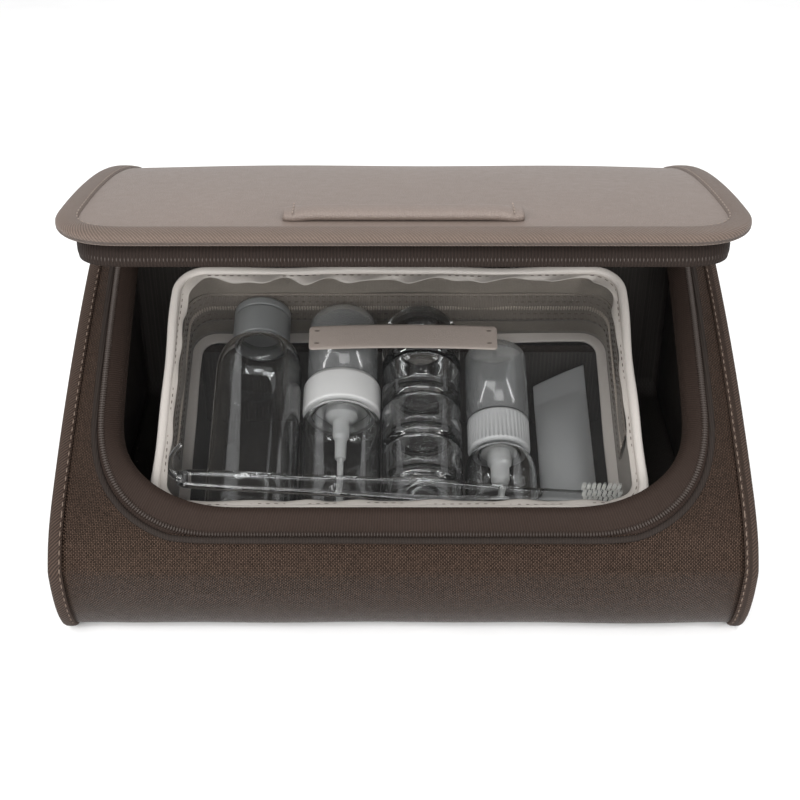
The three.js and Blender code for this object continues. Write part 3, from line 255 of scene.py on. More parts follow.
def sampled(path, at, own):
    """A polyline's coordinates at the places at, where its own points stand at the places own."""
    return np.stack([np.interp(at, own, path[:, k]) for k in range(path.shape[1])], -1)


def even(path, spacing, closed=False):
    """A polyline resampled at an even spacing along its length."""
    path = np.asarray(path, float)
    if closed:
        path = np.vstack([path, path[:1]])
    run = distance_along(path)
    count = max(4, int(round(run[-1] / spacing)))
    at = np.linspace(0, run[-1], count if closed else count + 1, endpoint=not closed)
    return sampled(path, at, run)


def directions(path, closed=False):
    """Unit tangents of a polyline: the difference of the neighbours on both sides."""
    if closed:
        d = np.roll(path, -1, 0) - np.roll(path, 1, 0)
    else:
        d = np.gradient(path, axis=0)
    return d / np.linalg.norm(d, axis=1, keepdims=True)


def metres_uv(along, across):
    """A UV pair in metres for each point of a grid: the distance along the rows and the one across them."""
    return np.stack(np.broadcast_arrays(along[:, None] * MM, np.asarray(across)[None] * MM), -1)


# %% Profiles on a path
def carried(name, path, up, profile, closed=False, matrix=None, scale=None):
    """A closed profile carried along a path: point = path + a side + b lift, where side = along x up and
    lift = side x along. up has one vector per path point; scale stretches the profile point by point."""
    along = directions(path, closed)
    side = np.cross(along, up)
    side /= np.linalg.norm(side, axis=1, keepdims=True)
    lift = np.cross(side, along)
    profile = np.asarray(profile, float)
    size = np.ones(len(path)) if scale is None else scale
    points = (
        path[:, None]
        + size[:, None, None] * profile[None, :, :1] * side[:, None]
        + size[:, None, None] * profile[None, :, 1:] * lift[:, None]
    )
    uv = metres_uv(distance_along(path), distance_along(profile))
    if matrix is not None:
        points = moved(points, matrix)
    return outwards(grid(name, points, round_rows=closed, round_columns=True, uv=uv, caps=not closed))


def alike(vector, path):
    """One vector repeated for every point of a path."""
    return np.tile(np.asarray(vector, float), (len(path), 1))


def oval(width, height, steps=16, squareness=2.0):
    """A superellipse outline: |a / w|^n + |b / h|^n = 1, with n the squareness."""
    angle = np.linspace(0, 2 * np.pi, steps, endpoint=False)
    c, s = np.cos(angle), np.sin(angle)
    a = np.sign(c) * np.abs(c) ** (2 / squareness) * width / 2
    b = np.sign(s) * np.abs(s) ** (2 / squareness) * height / 2
    return np.stack([a, b], -1)


# %% Stitches and teeth
def beads(name, centres, along, up, size, around=6, matrix=None):
    """Many small grains in one mesh, such as stitches or zip teeth. Each is a ball of five rings, the two
    at its ends closed by a flat face, with its point (p, sqrt(1 - p^2) cos a, sqrt(1 - p^2) sin a)
    stretched to size = (length along the path, width, height) and turned to its own path and up
    directions."""
    side = np.cross(along, up)
    side /= np.linalg.norm(side, axis=1, keepdims=True)
    lift = np.cross(side, along)
    polar = np.array([-0.999, -0.6, 0.0, 0.6, 0.999])
    ring = np.sqrt(1 - polar**2)
    angle = np.linspace(0, 2 * np.pi, around, endpoint=False)
    ball = np.stack(
        [
            np.repeat(polar, around) * size[0] / 2,
            (ring[:, None] * np.cos(angle)).ravel() * size[1] / 2,
            (ring[:, None] * np.sin(angle)).ravel() * size[2] / 2,
        ],
        -1,
    )
    axes = np.stack([along, side, lift], 1)
    points = centres[:, None] + np.einsum("pk,nkc->npc", ball, axes)
    one = grid_faces(len(polar), around, round_columns=True)
    last_ring = (len(polar) - 1) * around
    ends = np.array([list(range(around))[::-1], list(range(last_ring, last_ring + around))])
    step = np.arange(len(centres))[:, None, None] * len(polar) * around
    quads = (one[None] + step).reshape(-1, 4).tolist()
    caps = (ends[None] + step).reshape(-1, around).tolist()
    points = points.reshape(-1, 3)
    if matrix is not None:
        points = moved(points, matrix)
    return make(name, points, quads + caps)


# %% Walls, materials and bodies
def thick(obj, amount, offset=-1.0):
    """A wall of an even thickness in millimetres: inwards from the surface at offset -1, half each way at
    0."""
    wall = obj.modifiers.new("wall", "SOLIDIFY")
    wall.thickness, wall.offset = amount * MM, offset
    return obj


def dress(obj, material, body, *nodes, slot=None):
    """Gives a finished piece its material and body, and says which frame nodes it stands for. A piece that
    stands for a node takes that node's name with "look" behind it."""
    if nodes:
        obj.name = nodes[0] + "_look"
    obj.data.materials.clear()
    obj.data.materials.append(material)
    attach(obj, body)
    if nodes:
        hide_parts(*nodes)
    return obj


print("helpers ready, sizes in steps of", MM, "m")

# %% [markdown]
# ## Shader groups
# The bag looks like nylon, twill and leatherette. A picture of each cloth would blur close up, so their
# threads are worked out by nodes. What several materials share is a node group, built once: a woven
# surface, ribs, leather grain, and slow stains. A group gives back only heights and masks; each material
# keeps its own shader.


# %% Node helpers
def add(tree, kind, *links, **values):
    """A shader node. links are (input, socket); values set properties or, named as in in_Scale, an
    input."""
    node = tree.nodes.new(kind)
    for key, value in values.items():
        if key.startswith("in_"):
            node.inputs[key[3:].replace("_", " ")].default_value = value
        else:
            setattr(node, key, value)
    for name, socket in links:
        tree.links.new(socket, node.inputs[name])
    return node


def new_group(name, inputs, outputs):
    """An empty node group. inputs and outputs are (name, socket type, default)."""
    tree = bpy.data.node_groups.new(name, "ShaderNodeTree")
    for label, kind, value in inputs:
        socket = tree.interface.new_socket(label, in_out="INPUT", socket_type=kind)
        if value is not None:
            socket.default_value = value
    for label, kind in outputs:
        tree.interface.new_socket(label, in_out="OUTPUT", socket_type=kind)
    return tree, tree.nodes.new("NodeGroupInput"), tree.nodes.new("NodeGroupOutput")


FLOAT, VECTOR = "NodeSocketFloat", "NodeSocketVector"
RELIEF = [("Height", FLOAT), ("Tone", FLOAT)]


def surface_inputs(scale):
    """The inputs of every surface group: where the surface is, and how many cells go into a metre."""
    return [("Vector", VECTOR, None), ("Scale", FLOAT, scale)]


# %% Woven threads
def weave_group():
    """Plain weave, Scale cells to a metre: in cells of one parity the warp thread is on top, |sin(pi x)|,
    and in the others the weft, lower, at 0.45 |sin(pi y)|. Tone is one random value per cell, for threads
    that catch the light differently."""
    tree, start, end = new_group("weave", surface_inputs(1500.0), RELIEF)
    place, scale = start.outputs["Vector"], start.outputs["Scale"]
    scaled = add(tree, "ShaderNodeVectorMath", (0, place), ("Scale", scale), operation="SCALE")
    parts = add(tree, "ShaderNodeSeparateXYZ", (0, scaled.outputs[0]))
    x, y = parts.outputs[0], parts.outputs[1]
    cell = maths(tree, "ADD", maths(tree, "FLOOR", x), maths(tree, "FLOOR", y))
    parity = maths(tree, "FLOORED_MODULO", cell, 2.0)
    warp = maths(tree, "ABSOLUTE", maths(tree, "SINE", maths(tree, "MULTIPLY", x, math.pi)))
    weft = maths(tree, "ABSOLUTE", maths(tree, "SINE", maths(tree, "MULTIPLY", y, math.pi)))
    weft = maths(tree, "MULTIPLY", weft, 0.45)
    lift = maths(tree, "ADD", maths(tree, "MULTIPLY", warp, parity),
                 maths(tree, "MULTIPLY", weft, maths(tree, "SUBTRACT", 1.0, parity)))
    floor = add(tree, "ShaderNodeVectorMath", (0, scaled.outputs[0]), operation="FLOOR")
    chance = add(tree, "ShaderNodeTexWhiteNoise", ("Vector", floor.outputs[0]), noise_dimensions="2D")
    tree.links.new(lift, end.inputs["Height"])
    tree.links.new(chance.outputs["Value"], end.inputs["Tone"])
    return tree


# %% Ribs, grain and stains
def noise_of(tree, start, scale, detail):
    """A noise texture on a group's own Vector."""
    where = ("Vector", start.outputs["Vector"])
    return add(tree, "ShaderNodeTexNoise", where, in_Scale=scale, in_Detail=detail)


def rib_group():
    """Slanted ribs, Scale to a metre: height = 0.5 + 0.5 sin(2 pi Scale (x + Slant y) + 2 noise)."""
    tree, start, end = new_group("ribs", [*surface_inputs(1000.0), ("Slant", FLOAT, 0.0)], RELIEF)
    parts = add(tree, "ShaderNodeSeparateXYZ", (0, start.outputs["Vector"]))
    lean = maths(tree, "MULTIPLY_ADD", parts.outputs[1], start.outputs["Slant"], parts.outputs[0])
    noise = noise_of(tree, start, 900.0, 2.0)
    phase = maths(tree, "MULTIPLY", maths(tree, "MULTIPLY", lean, start.outputs["Scale"]), 2 * math.pi)
    phase = maths(tree, "MULTIPLY_ADD", noise.outputs["Fac"], 2.0, phase)
    tree.links.new(maths(tree, "MULTIPLY_ADD", maths(tree, "SINE", phase), 0.5, 0.5), end.inputs["Height"])
    tree.links.new(noise.outputs["Fac"], end.inputs["Tone"])
    return tree


def grain_group():
    """Leather: pebbles between the creases of a Voronoi pattern, bent by noise so that no cell is straight.
    Height = the lower of 4 times the distance to a crease and 1, with a soft step, plus 0.4 of a finer
    noise."""
    tree, start, end = new_group("grain", surface_inputs(900.0), RELIEF)
    warp = noise_of(tree, start, 500.0, 2.0)
    bend = add(tree, "ShaderNodeVectorMath", (0, warp.outputs["Color"]), operation="SCALE", in_Scale=0.0012)
    inputs = (0, start.outputs["Vector"]), (1, bend.outputs[0])
    place = add(tree, "ShaderNodeVectorMath", *inputs, operation="ADD")
    inputs = ("Vector", place.outputs[0]), ("Scale", start.outputs["Scale"])
    cells = add(tree, "ShaderNodeTexVoronoi", *inputs, feature="DISTANCE_TO_EDGE")
    lift = maths(tree, "SMOOTH_MIN", maths(tree, "MULTIPLY", cells.outputs["Distance"], 4.0), 1.0, 0.4)
    fine = noise_of(tree, start, 2600.0, 3.0)
    tree.links.new(maths(tree, "MULTIPLY_ADD", fine.outputs["Fac"], 0.4, lift), end.inputs["Height"])
    tree.links.new(warp.outputs["Fac"], end.inputs["Tone"])
    return tree


def stain_group():
    """Two slow noises: Broad for uneven dye and dust, Fine for scuffs, both about 0 to 1."""
    tree, start, end = new_group("stain", [("Vector", VECTOR, None)], [("Broad", FLOAT), ("Fine", FLOAT)])
    broad = noise_of(tree, start, 22.0, 4.0)
    fine = noise_of(tree, start, 260.0, 5.0)
    tree.links.new(broad.outputs["Fac"], end.inputs["Broad"])
    tree.links.new(fine.outputs["Fac"], end.inputs["Fine"])
    return tree


GROUPS = {"weave": weave_group(), "ribs": rib_group(), "grain": grain_group(), "stain": stain_group()}
print(sorted(GROUPS))

# %% [markdown]
# ## Materials
# A soft material takes one surface group for its bump and its thread tones, and the stain group for uneven
# dye. Its one colour is made darker by a factor, so that the hue stays: with painted shade in the hollows
# of its relief, and where the dye is thin. A hard material has an even colour and only smudges in its
# gloss, as moulded plastic does.


# %% Soft materials
TENTH = 1e-4  # a tenth of a millimetre in metres
# A share of each thread's colour factor is painted shade: low places of the relief are made darker.
HOLLOW_SHADE_SHARE = 0.75  # of a thread's tone that comes from its height; the rest is chance
DARKEST = 0.05  # the least factor on a colour


def linear(colour):
    """An sRGB colour of 0 to 255 as the linear values that a shader socket takes."""
    c = np.asarray(colour, float) / 255
    return [*np.where(c <= 0.04045, c / 12.92, ((c + 0.055) / 1.055) ** 2.4), 1.0]


def soft(name, colour, surface, scale, bump=0.25, rough=0.75, sheen=0.0, contrast=0.18, slant=0.0, uv=True,
         dye=0.12, specular=0.3, gleam=(255, 255, 255)):
    """Cloth or leather. bump is the height of the relief in tenths of a millimetre; contrast, how far the
    thread tones and the painted shade in the hollows darken the colour; dye, how far the slow stains do;
    gleam, the colour of the threads' shine."""
    material = bpy.data.materials.new(name)
    material.use_nodes = True
    tree = material.node_tree
    shader = tree.nodes["Principled BSDF"]
    where = add(tree, "ShaderNodeTexCoord")
    flat = where.outputs["UV"] if uv else where.outputs["Object"]
    relief = add(tree, "ShaderNodeGroup", node_tree=GROUPS[surface])
    tree.links.new(flat, relief.inputs["Vector"])
    relief.inputs["Scale"].default_value = scale
    if surface == "ribs":
        relief.inputs["Slant"].default_value = slant
    stain = add(tree, "ShaderNodeGroup", node_tree=GROUPS["stain"])
    tree.links.new(where.outputs["Object"], stain.inputs["Vector"])
    # Painted shade: the colour is darkened where the relief is low, in the hollows between threads, ribs and
    # pebbles; the rest of the factor is the random thread tone.
    hollow_shade = maths(tree, "MULTIPLY", relief.outputs["Height"], HOLLOW_SHADE_SHARE)
    shade_and_tone = maths(tree, "MULTIPLY_ADD", relief.outputs["Tone"], 1 - HOLLOW_SHADE_SHARE, hollow_shade)
    shade = maths(tree, "MULTIPLY_ADD", shade_and_tone, contrast, 1.0 - contrast / 2)
    shade = maths(tree, "MAXIMUM", shade, DARKEST)
    slow = maths(tree, "MULTIPLY_ADD", stain.outputs["Broad"], dye * 2, 1.0 - dye)
    factor = maths(tree, "MULTIPLY", shade, slow)
    tone = add(tree, "ShaderNodeVectorMath", ("Scale", factor), operation="SCALE")
    tone.inputs[0].default_value = linear(colour)[:3]
    tree.links.new(tone.outputs[0], shader.inputs["Base Color"])
    gloss = maths(tree, "MULTIPLY_ADD", stain.outputs["Fine"], 0.16, rough - 0.08)
    tree.links.new(gloss, shader.inputs["Roughness"])
    shader.inputs["Specular IOR Level"].default_value = specular
    shader.inputs["Specular Tint"].default_value = linear(gleam)
    shader.inputs["Sheen Weight"].default_value = sheen
    shader.inputs["Sheen Roughness"].default_value = 0.4
    height = relief.outputs["Height"]
    rise = add(tree, "ShaderNodeBump", ("Height", height), in_Strength=0.8, in_Distance=bump * TENTH)
    inputs = ("Height", stain.outputs["Fine"]), ("Normal", rise.outputs[0])
    dent = add(tree, "ShaderNodeBump", *inputs, in_Strength=0.5, in_Distance=2 * TENTH)
    tree.links.new(dent.outputs[0], shader.inputs["Normal"])
    return material


# The nylon's strong contrast paints a sheen into its colour: its raised threads come out as bright flecks,
# with painted shade in the hollows between them.
NYLON = soft("nylon", (37, 28, 23), "weave", 1480, bump=3.6, rough=0.36, contrast=5.5, dye=0.08,
             specular=0.34, gleam=(215, 185, 165))
TWILL = soft("twill", (90, 77, 69), "ribs", 850, bump=2.6, rough=0.7, sheen=0.08, contrast=0.8, slant=0.9)
DARK_TWILL = soft("dark_twill", (54, 42, 35), "ribs", 760, bump=2.6, rough=0.7, contrast=1.5, slant=0.9,
                  specular=0.2)
LEATHER = soft("leather", (107, 95, 88), "grain", 1100, bump=1.1, rough=0.48, contrast=0.22, dye=0.07,
               specular=0.45, uv=False)
PLATE_LEATHER = soft("plate_leather", (142, 132, 125), "grain", 1600, bump=0.7, rough=0.45, contrast=0.15,
                     specular=0.45, uv=False)
TAPE = soft("zip_tape", (42, 32, 27), "ribs", 900, bump=1.4, rough=0.75, contrast=0.5, specular=0.15)
LINING = soft("lining", (70, 66, 63), "weave", 1100, bump=0.8, rough=0.7, contrast=0.5, uv=False)
GUSSET = soft("gusset", (118, 111, 102), "weave", 1500, bump=1.4, rough=0.7, sheen=0.15, contrast=0.45)
GUSSET_TAPE = soft("gusset_tape", (108, 101, 93), "ribs", 1300, bump=1.5, rough=0.75, contrast=0.35,
                   sheen=0.1)
TRIM = soft("pouch_trim", (188, 182, 176), "grain", 1500, bump=0.4, rough=0.42, contrast=0.08, dye=0.05,
            specular=0.5, uv=False)
# The hem is darker than the trim of its frame: partly its own translucent look, partly painted shade from
# the lid along the top, where the hem is widest.
SHADED_HEM = soft("hem", (162, 156, 150), "grain", 1500, bump=0.4, rough=0.45, contrast=0.1, specular=0.4, uv=False)
THREAD, THREAD_LIGHT, THREAD_PALE = (
    soft(name, colour, "ribs", 3000, bump=0.6, rough=0.7, contrast=0.3, uv=False)
    for name, colour in (("thread_dark", (84, 76, 70)), ("thread_light", (104, 90, 80)),
                         ("thread_pale", (140, 127, 118)))
)
BAND = soft("zip_band", (32, 24, 20), "ribs", 900, bump=2.0, rough=0.75, contrast=0.6, specular=0.15)
EDGE = soft("edge_tape", (34, 27, 23), "ribs", 900, bump=1.4, rough=0.75, contrast=0.5, specular=0.2,
            uv=False)
print(len(bpy.data.materials), "soft materials ready")


# %% Hard materials
def hard(name, colour, rough=0.3, metal=0.0, through=0.0, ior=1.49, smudge=0.12, alpha=1.0, grain=0.0):
    """Plastic, metal or clear film: an even colour, with smudges in the gloss and a faint moulded texture.
    through is the share of light that passes; grain, the height of the texture in millimetres."""
    material = bpy.data.materials.new(name)
    material.use_nodes = True
    tree = material.node_tree
    shader = tree.nodes["Principled BSDF"]
    where = add(tree, "ShaderNodeTexCoord")
    stain = add(tree, "ShaderNodeGroup", node_tree=GROUPS["stain"])
    tree.links.new(where.outputs["Object"], stain.inputs["Vector"])
    slow = maths(tree, "MULTIPLY_ADD", stain.outputs["Broad"], 0.1, 0.95)
    tone = add(tree, "ShaderNodeVectorMath", ("Scale", slow), operation="SCALE")
    tone.inputs[0].default_value = linear(colour)[:3]
    tree.links.new(tone.outputs[0], shader.inputs["Base Color"])
    gloss = maths(tree, "MULTIPLY_ADD", stain.outputs["Fine"], smudge, rough)
    tree.links.new(gloss, shader.inputs["Roughness"])
    shader.inputs["Metallic"].default_value = metal
    shader.inputs["Transmission Weight"].default_value = through
    shader.inputs["IOR"].default_value = ior
    shader.inputs["Alpha"].default_value = alpha
    if grain:
        height = stain.outputs["Fine"]
        rise = add(tree, "ShaderNodeBump", ("Height", height), in_Strength=0.6, in_Distance=grain * MM)
        tree.links.new(rise.outputs[0], shader.inputs["Normal"])
    return material


WHITE = hard("white_plastic", (196, 196, 195), rough=0.28, grain=0.05)
PALE = hard("pale_plastic", (160, 161, 161), rough=0.3, grain=0.05)
GREY = hard("grey_plastic", (140, 142, 142), rough=0.3, through=0.45, grain=0.05)
CLEAR = hard("clear_plastic", (246, 247, 247), rough=0.0, through=1.0, ior=1.57, smudge=0.02)
FROST_CAP = hard("overcap_plastic", (232, 234, 234), rough=0.1, through=0.9, ior=1.45, smudge=0.06)
FROST = hard("frosted_plastic", (204, 206, 206), rough=0.35, through=0.72, ior=1.4, grain=0.1)
METAL = hard("zip_metal", (120, 108, 98), rough=0.3, metal=1.0, grain=0.04)
COIL = hard("coil_nylon", (46, 36, 30), rough=0.55)
COIL_LIGHT = hard("coil_light", (150, 141, 131), rough=0.4)
TUFT = hard("tuft_nylon", (232, 232, 228), rough=0.4)
print(len(bpy.data.materials), "materials ready")

# %% [markdown]
# ## The bag's own curves
# Seen from the side, the bag is a closed curve of straight runs and gentle arcs. Pieces that are sewn to
# each other share their seams. So every panel, tape and lid piece here follows that one curve at some
# distance, and the opening is a U-shaped plan projected onto it from above.


# %% Side outline
def quadratic(a, b, c, steps):
    """The curve (1-t)^2 a + 2 t (1-t) b + t^2 c, with its start and end."""
    t = np.linspace(0, 1, steps)[:, None]
    return (1 - t) ** 2 * np.array(a) + 2 * t * (1 - t) * np.array(b) + t**2 * np.array(c)


def arc(centre, radius, start, end, steps):
    """Points of a circle between two angles in degrees."""
    a = np.radians(np.linspace(start, end, steps))
    return np.array(centre) + radius * np.stack([np.cos(a), np.sin(a)], -1)


def cubic(a, b, c, d, steps):
    """A cubic curve with its two ends a and d and its two controls b and c."""
    t = np.linspace(0, 1, steps)[:, None]
    return (
        (1 - t) ** 3 * np.array(a) + 3 * t * (1 - t) ** 2 * np.array(b) + 3 * t**2 * (1 - t) * np.array(c)
        + t**3 * np.array(d)
    )


TOP_COUNT = 90
TOP = quadratic((84, 112), (-5.54, 96.01), (-84, 50), TOP_COUNT)
OUTLINE = np.concatenate([
    np.linspace((-72, 0), (80, 0), 70)[:-1],
    arc((80, 12), 12, -90, 0, 14)[:-1],
    np.linspace((92, 12), (92, 104), 46)[:-1],
    arc((84, 104), 8, 0, 90, 12)[:-1],
    TOP[:-1],
    quadratic((-84, 50), (-91, 43), (-91, 36), 10)[:-1],
    cubic((-91, 36), (-91, 12), (-81.5, 0), (-72, 0), 26)[:-1],
])
RIM = len(OUTLINE) - 34  # the number of the point at the front end of the top curve
TOP_START = RIM - TOP_COUNT + 1


def eased(curve, middle, reach, passes):
    """A stretch of a closed curve made rounder: each pass moves its points halfway to their neighbours'
    mean."""
    curve = curve.copy()
    at = np.arange(middle - reach, middle + reach + 1)
    for _ in range(passes):
        curve[at] = 0.5 * curve[at] + 0.25 * (curve[at - 1] + curve[at + 1])
    return curve


LID_STANDS_OFF = 2.4  # mm that the lid's curve is higher than the bag's at the front
LID_LINE = TOP + np.clip(-TOP[:, :1] / 84, 0, 1) ** 2 * (0, LID_STANDS_OFF)
OUTLINE = eased(OUTLINE, RIM, 6, 40)
TOP = OUTLINE[TOP_START : RIM + 1]


def normals(curve, closed=True):
    """Outward unit normals of an anticlockwise curve in the plane of y and z: the tangent turned by -90
    degrees."""
    d = directions(curve, closed)
    return np.stack([d[:, 1], -d[:, 0]], -1)


OUTLINE_OUT = normals(OUTLINE)
TOP_OUT = OUTLINE_OUT[TOP_START : RIM + 1]
LID_OUT = normals(LID_LINE, closed=False)


def outline(offset=0.0):
    """The side outline moved outwards by a distance."""
    return OUTLINE + offset * OUTLINE_OUT


def shell_height(y, offset=0.0):
    """Height, over y, of the lid's curve moved outwards by a distance. Beyond its ends it goes straight
    on."""
    line = (LID_LINE + offset * LID_OUT)[::-1]
    before = line[0] + (line[0] - line[3]) * 12
    after = line[-1] + (line[-1] - line[-4]) * 12
    line = np.vstack([before, line, after])
    return np.interp(y, line[:, 0], line[:, 1])


def half_plan(y, front, back, front_half, back_half, corner):
    """Half the width of a plan with straight slanting sides and two corners, each a quadratic curve that
    starts a corner's length before the meeting point of side and front."""
    slope = (back_half - front_half) / (back - front)
    half = front_half + (y - front) * slope
    t = 1 - np.sqrt(np.clip((y - front) / corner, 0, 1))
    side = front_half + corner * slope
    bent = (1 - t) ** 2 * side + 2 * t * (1 - t) * front_half + t**2 * (front_half - corner)
    return np.where(y < front + corner, bent, half)


OPENING_FRONT, OPENING_BACK = -84, 74.0
OPENING_HALF, OPENING_CORNER = 121, 48.0


def opening_half(y, margin=0.0):
    """Half the width of the bag's opening, let out by a margin."""
    front, front_half = OPENING_FRONT - margin, OPENING_HALF + margin
    return half_plan(y, front, OPENING_BACK, front_half, 126.5 + margin, OPENING_CORNER)


print(len(OUTLINE), "points round the side")

# %% [markdown]
# ## The body
# One nylon panel wraps from the opening's back edge down the back, under the base and up the rounded front.
# Two narrow strips go on beside the opening. A bent plane with a hole cut in it would leave ragged edges
# there, so the panel is three grids that share their edge points. It is filled a little unevenly, so its
# faces stand out by one or two millimetres, but not at the side seams or on the floor.


# %% Wrap
def step(value, start, length):
    """A soft step from 0 to 1: t^2 (3 - 2 t), where t goes from 0 at the start to 1 a length later."""
    t = np.clip((value - start) / length, 0, 1)
    return t**2 * (3 - 2 * t)


def swell(x, y, z):
    """A slow unevenness: sin x cos y, 0.6 sin (z and x) and 0.4 sin (x and z), each a long wave."""
    wave = np.sin(0.031 * x + 0.9) * np.cos(0.043 * y - 0.4) + 0.6 * np.sin(0.052 * z + 0.021 * x)
    return wave + 0.4 * np.sin(0.093 * x - 0.05 * z)


def swelling(x, y, z):
    """How far the filled panel stands out: (0.45 swell + 1) in the middle, less near the side seams and
    below."""
    held = step(-np.abs(x), -128, 26)
    return held * (0.45 * swell(x, y, z) + np.clip(z / 30, 0, 1)) * np.clip(z / 6, 0, 1)


def wrap_patch(curve, out, columns, offset=0.0):
    """Points x by curve: (x, curve + (offset + swelling) out), with out the curve's outward normal."""
    x = np.broadcast_to(columns, (len(curve), columns.shape[-1]))
    y, z = (np.broadcast_to(curve[:, None, k], x.shape) for k in (0, 1))
    lift = offset + swelling(x, y, z)
    return np.stack([x, y + lift * out[:, None, 0], z + lift * out[:, None, 1]], -1)


MEET = 73.0  # mm from the middle, where the strips beside the opening meet the rest


def body_wrap(name, offset=0.0, half=130.4):
    """The wrap in three patches that meet point for point: everything below the opening, and the two
    strips. The weave follows x and the distance run along the curve."""
    rim = np.argmin(np.abs(TOP[:, 0] - OPENING_BACK))
    around = [*range(RIM, len(OUTLINE)), *range(TOP_START - 2)]
    under = np.concatenate([OUTLINE[around], TOP[: rim + 1]])
    under_out = np.concatenate([OUTLINE_OUT[around], TOP_OUT[: rim + 1]])
    middle = np.linspace(-MEET, MEET, 60)
    edge = np.linspace(MEET, half, 22)
    columns = np.concatenate([-edge[::-1], middle[1:-1], edge])
    patches = [(under, 0.0, wrap_patch(under, under_out, columns, offset))]
    strip, strip_out = TOP[rim:], TOP_OUT[rim:]
    inner = opening_half(np.maximum(strip[:, 0], OPENING_FRONT))
    inner[-1] = MEET
    across = inner[:, None] + (half - inner[:, None]) * np.linspace(0, 1, len(edge))
    long = distance_along(strip)[-1]
    patches += [(strip, -long, wrap_patch(strip, strip_out, sign * across, offset)) for sign in (-1, 1)]
    pieces = []
    for curve, start, points in patches:
        run = start + distance_along(curve)
        uv = np.stack([points[..., 0], np.broadcast_to(run[:, None], points.shape[:2])], -1) * MM
        pieces.append(grid("patch", points, uv=uv))
    return joined(name, pieces, merge=0.02)


def joined(name, pieces, merge=0.0):
    """Several meshes as one smooth mesh, with points nearer than merge millimetres welded and faces turned
    out."""
    cells = bmesh.new()
    for piece in pieces:
        cells.from_mesh(piece.data)
    if merge:
        bmesh.ops.remove_doubles(cells, verts=cells.verts, dist=merge * MM)
    bmesh.ops.recalc_face_normals(cells, faces=cells.faces)
    mesh = bpy.data.meshes.new(name)
    cells.to_mesh(mesh)
    cells.free()
    mesh.polygons.foreach_set("use_smooth", np.ones(len(mesh.polygons), bool))
    for piece in pieces:
        old = piece.data
        bpy.data.objects.remove(piece)
        bpy.data.meshes.remove(old)
    obj = bpy.data.objects.new(name, mesh)
    bpy.context.scene.collection.objects.link(obj)
    return obj


wrap = thick(body_wrap("wrap"), 1.9)
dress(wrap, NYLON, "bag", "body_wrap", slot="nylon")
inside = thick(body_wrap("inside", -3.6, 127.5), 0.6)
dress(inside, LINING, "bag", "lining")
print(len(wrap.data.vertices), "points in the wrap,", len(inside.data.vertices), "in the lining")

# %% [markdown]
# ## Sides and their bindings
# Each side is a padded panel: its middle swells and falls off towards the seam like a stuffed shape. A
# cloth simulation would fill it too, but a formula of the distance to the seam gives the same dome with an
# edge that fits the seam. A twill binding is folded round that seam. It runs round the whole outline, with
# a row of stitches.


# %% Side panels
def side_face(name, sign, start, fill, inset):
    """A padded panel: rings of the side outline shrunk towards its middle, each standing out by start +
    fill (1 - q^4) and a slow wave, where q runs from 0 in the middle to 1 at the seam."""
    ring = even(outline(-inset), 2.2, closed=True)
    middle = np.array([4.0, 50.0])
    share = np.concatenate([np.linspace(0.02, 0.8, 16), 1 - 0.2 * (1 - np.linspace(0, 1, 14)[1:]) ** 2])
    flat = middle + share[:, None, None] * (ring - middle)
    wave = 0.35 * np.sin(0.07 * flat[..., 0] + 0.05 * flat[..., 1])
    out = start + fill * (1 - share**4)[:, None] + wave
    out = np.where(share[:, None] > 0.999, start, out)
    points = np.stack([sign * out, flat[..., 0], flat[..., 1]], -1)
    obj = grid(name, points, round_columns=True, uv=flat * MM)
    cap = bmesh.new()
    cap.from_mesh(obj.data)
    cap.verts.ensure_lookup_table()
    bmesh.ops.contextual_create(cap, geom=cap.verts[: len(ring)])
    bmesh.ops.recalc_face_normals(cap, faces=cap.faces)
    cap.to_mesh(obj.data)
    cap.free()
    return obj


def binding(name, sign):
    """The folded twill strip round a side seam, as a soft bead 6.4 mm wide along the side and 5.6 mm
    thick."""
    path = even(outline(-1.6), 1.6, closed=True)
    seam = np.column_stack([np.full(len(path), sign * 133.2), path[:, 0], np.maximum(path[:, 1], 2.9)])
    return carried(name, seam, alike([sign, 0, 0], seam), oval(6.4, 5.6, 18, 3.2), closed=True)


def side_stitches(name, sign):
    """A row of stitches along the binding, from the floor over the top to the floor again. The points under
    6 mm are left out, and the rest is put in order from the gap that this leaves."""
    seam = even(outline(1.25), 1.0, closed=True)
    seam = np.column_stack([np.full(len(seam), sign * 131.2), seam])
    seam = seam[seam[:, 2] > 6]
    gap = int(np.argmax(np.linalg.norm(np.diff(seam, axis=0), axis=1)))
    row = even(np.roll(seam, -gap - 1, axis=0), 3.6)
    along = directions(row)
    return beads(name, row, along, np.cross(alike([sign, 0, 0], row), along) * -sign, (2.3, 0.6, 0.5))


for side, sign in (("left", -1), ("right", 1)):
    panel = thick(side_face(f"side_panel_{side}", sign, 130.2, 4.6, 4.5), 1.5)
    dress(panel, NYLON, "bag", f"side_panel_{side}")
    strip = binding(f"side_binding_{side}", sign)
    dress(strip, DARK_TWILL, "bag", f"side_binding_{side}")
    dress(side_stitches(f"side_stitches_{side}", sign), THREAD_LIGHT, "bag")
    pad = side_face(f"side_pad_{side}", sign, 127.0, -1.7, 5.5)
    thick(pad, 0.8)
    dress(pad, LINING, "bag", f"side_pad_{side}")
print(len(panel.data.vertices), "points in a side panel,", len(strip.data.vertices), "in its binding")

# %% [markdown]
# ## The opening
# The opening is seen from above as a U. Its zip tape, its coil and the folded edge of the panel follow that
# U, at the height of the top curve. A boolean cut would give an edge with no thickness of cloth, so each of
# them is a strip of its own along one shared path. The tape isn't flat: its free edge stands up at the
# front, before the pouch, and hangs down at the sides.


# %% Opening path
def top_slope(y):
    """Slope of the top curve over y."""
    line = TOP[::-1]
    return np.interp(y, line[:, 0], np.gradient(line[:, 1], line[:, 0]))


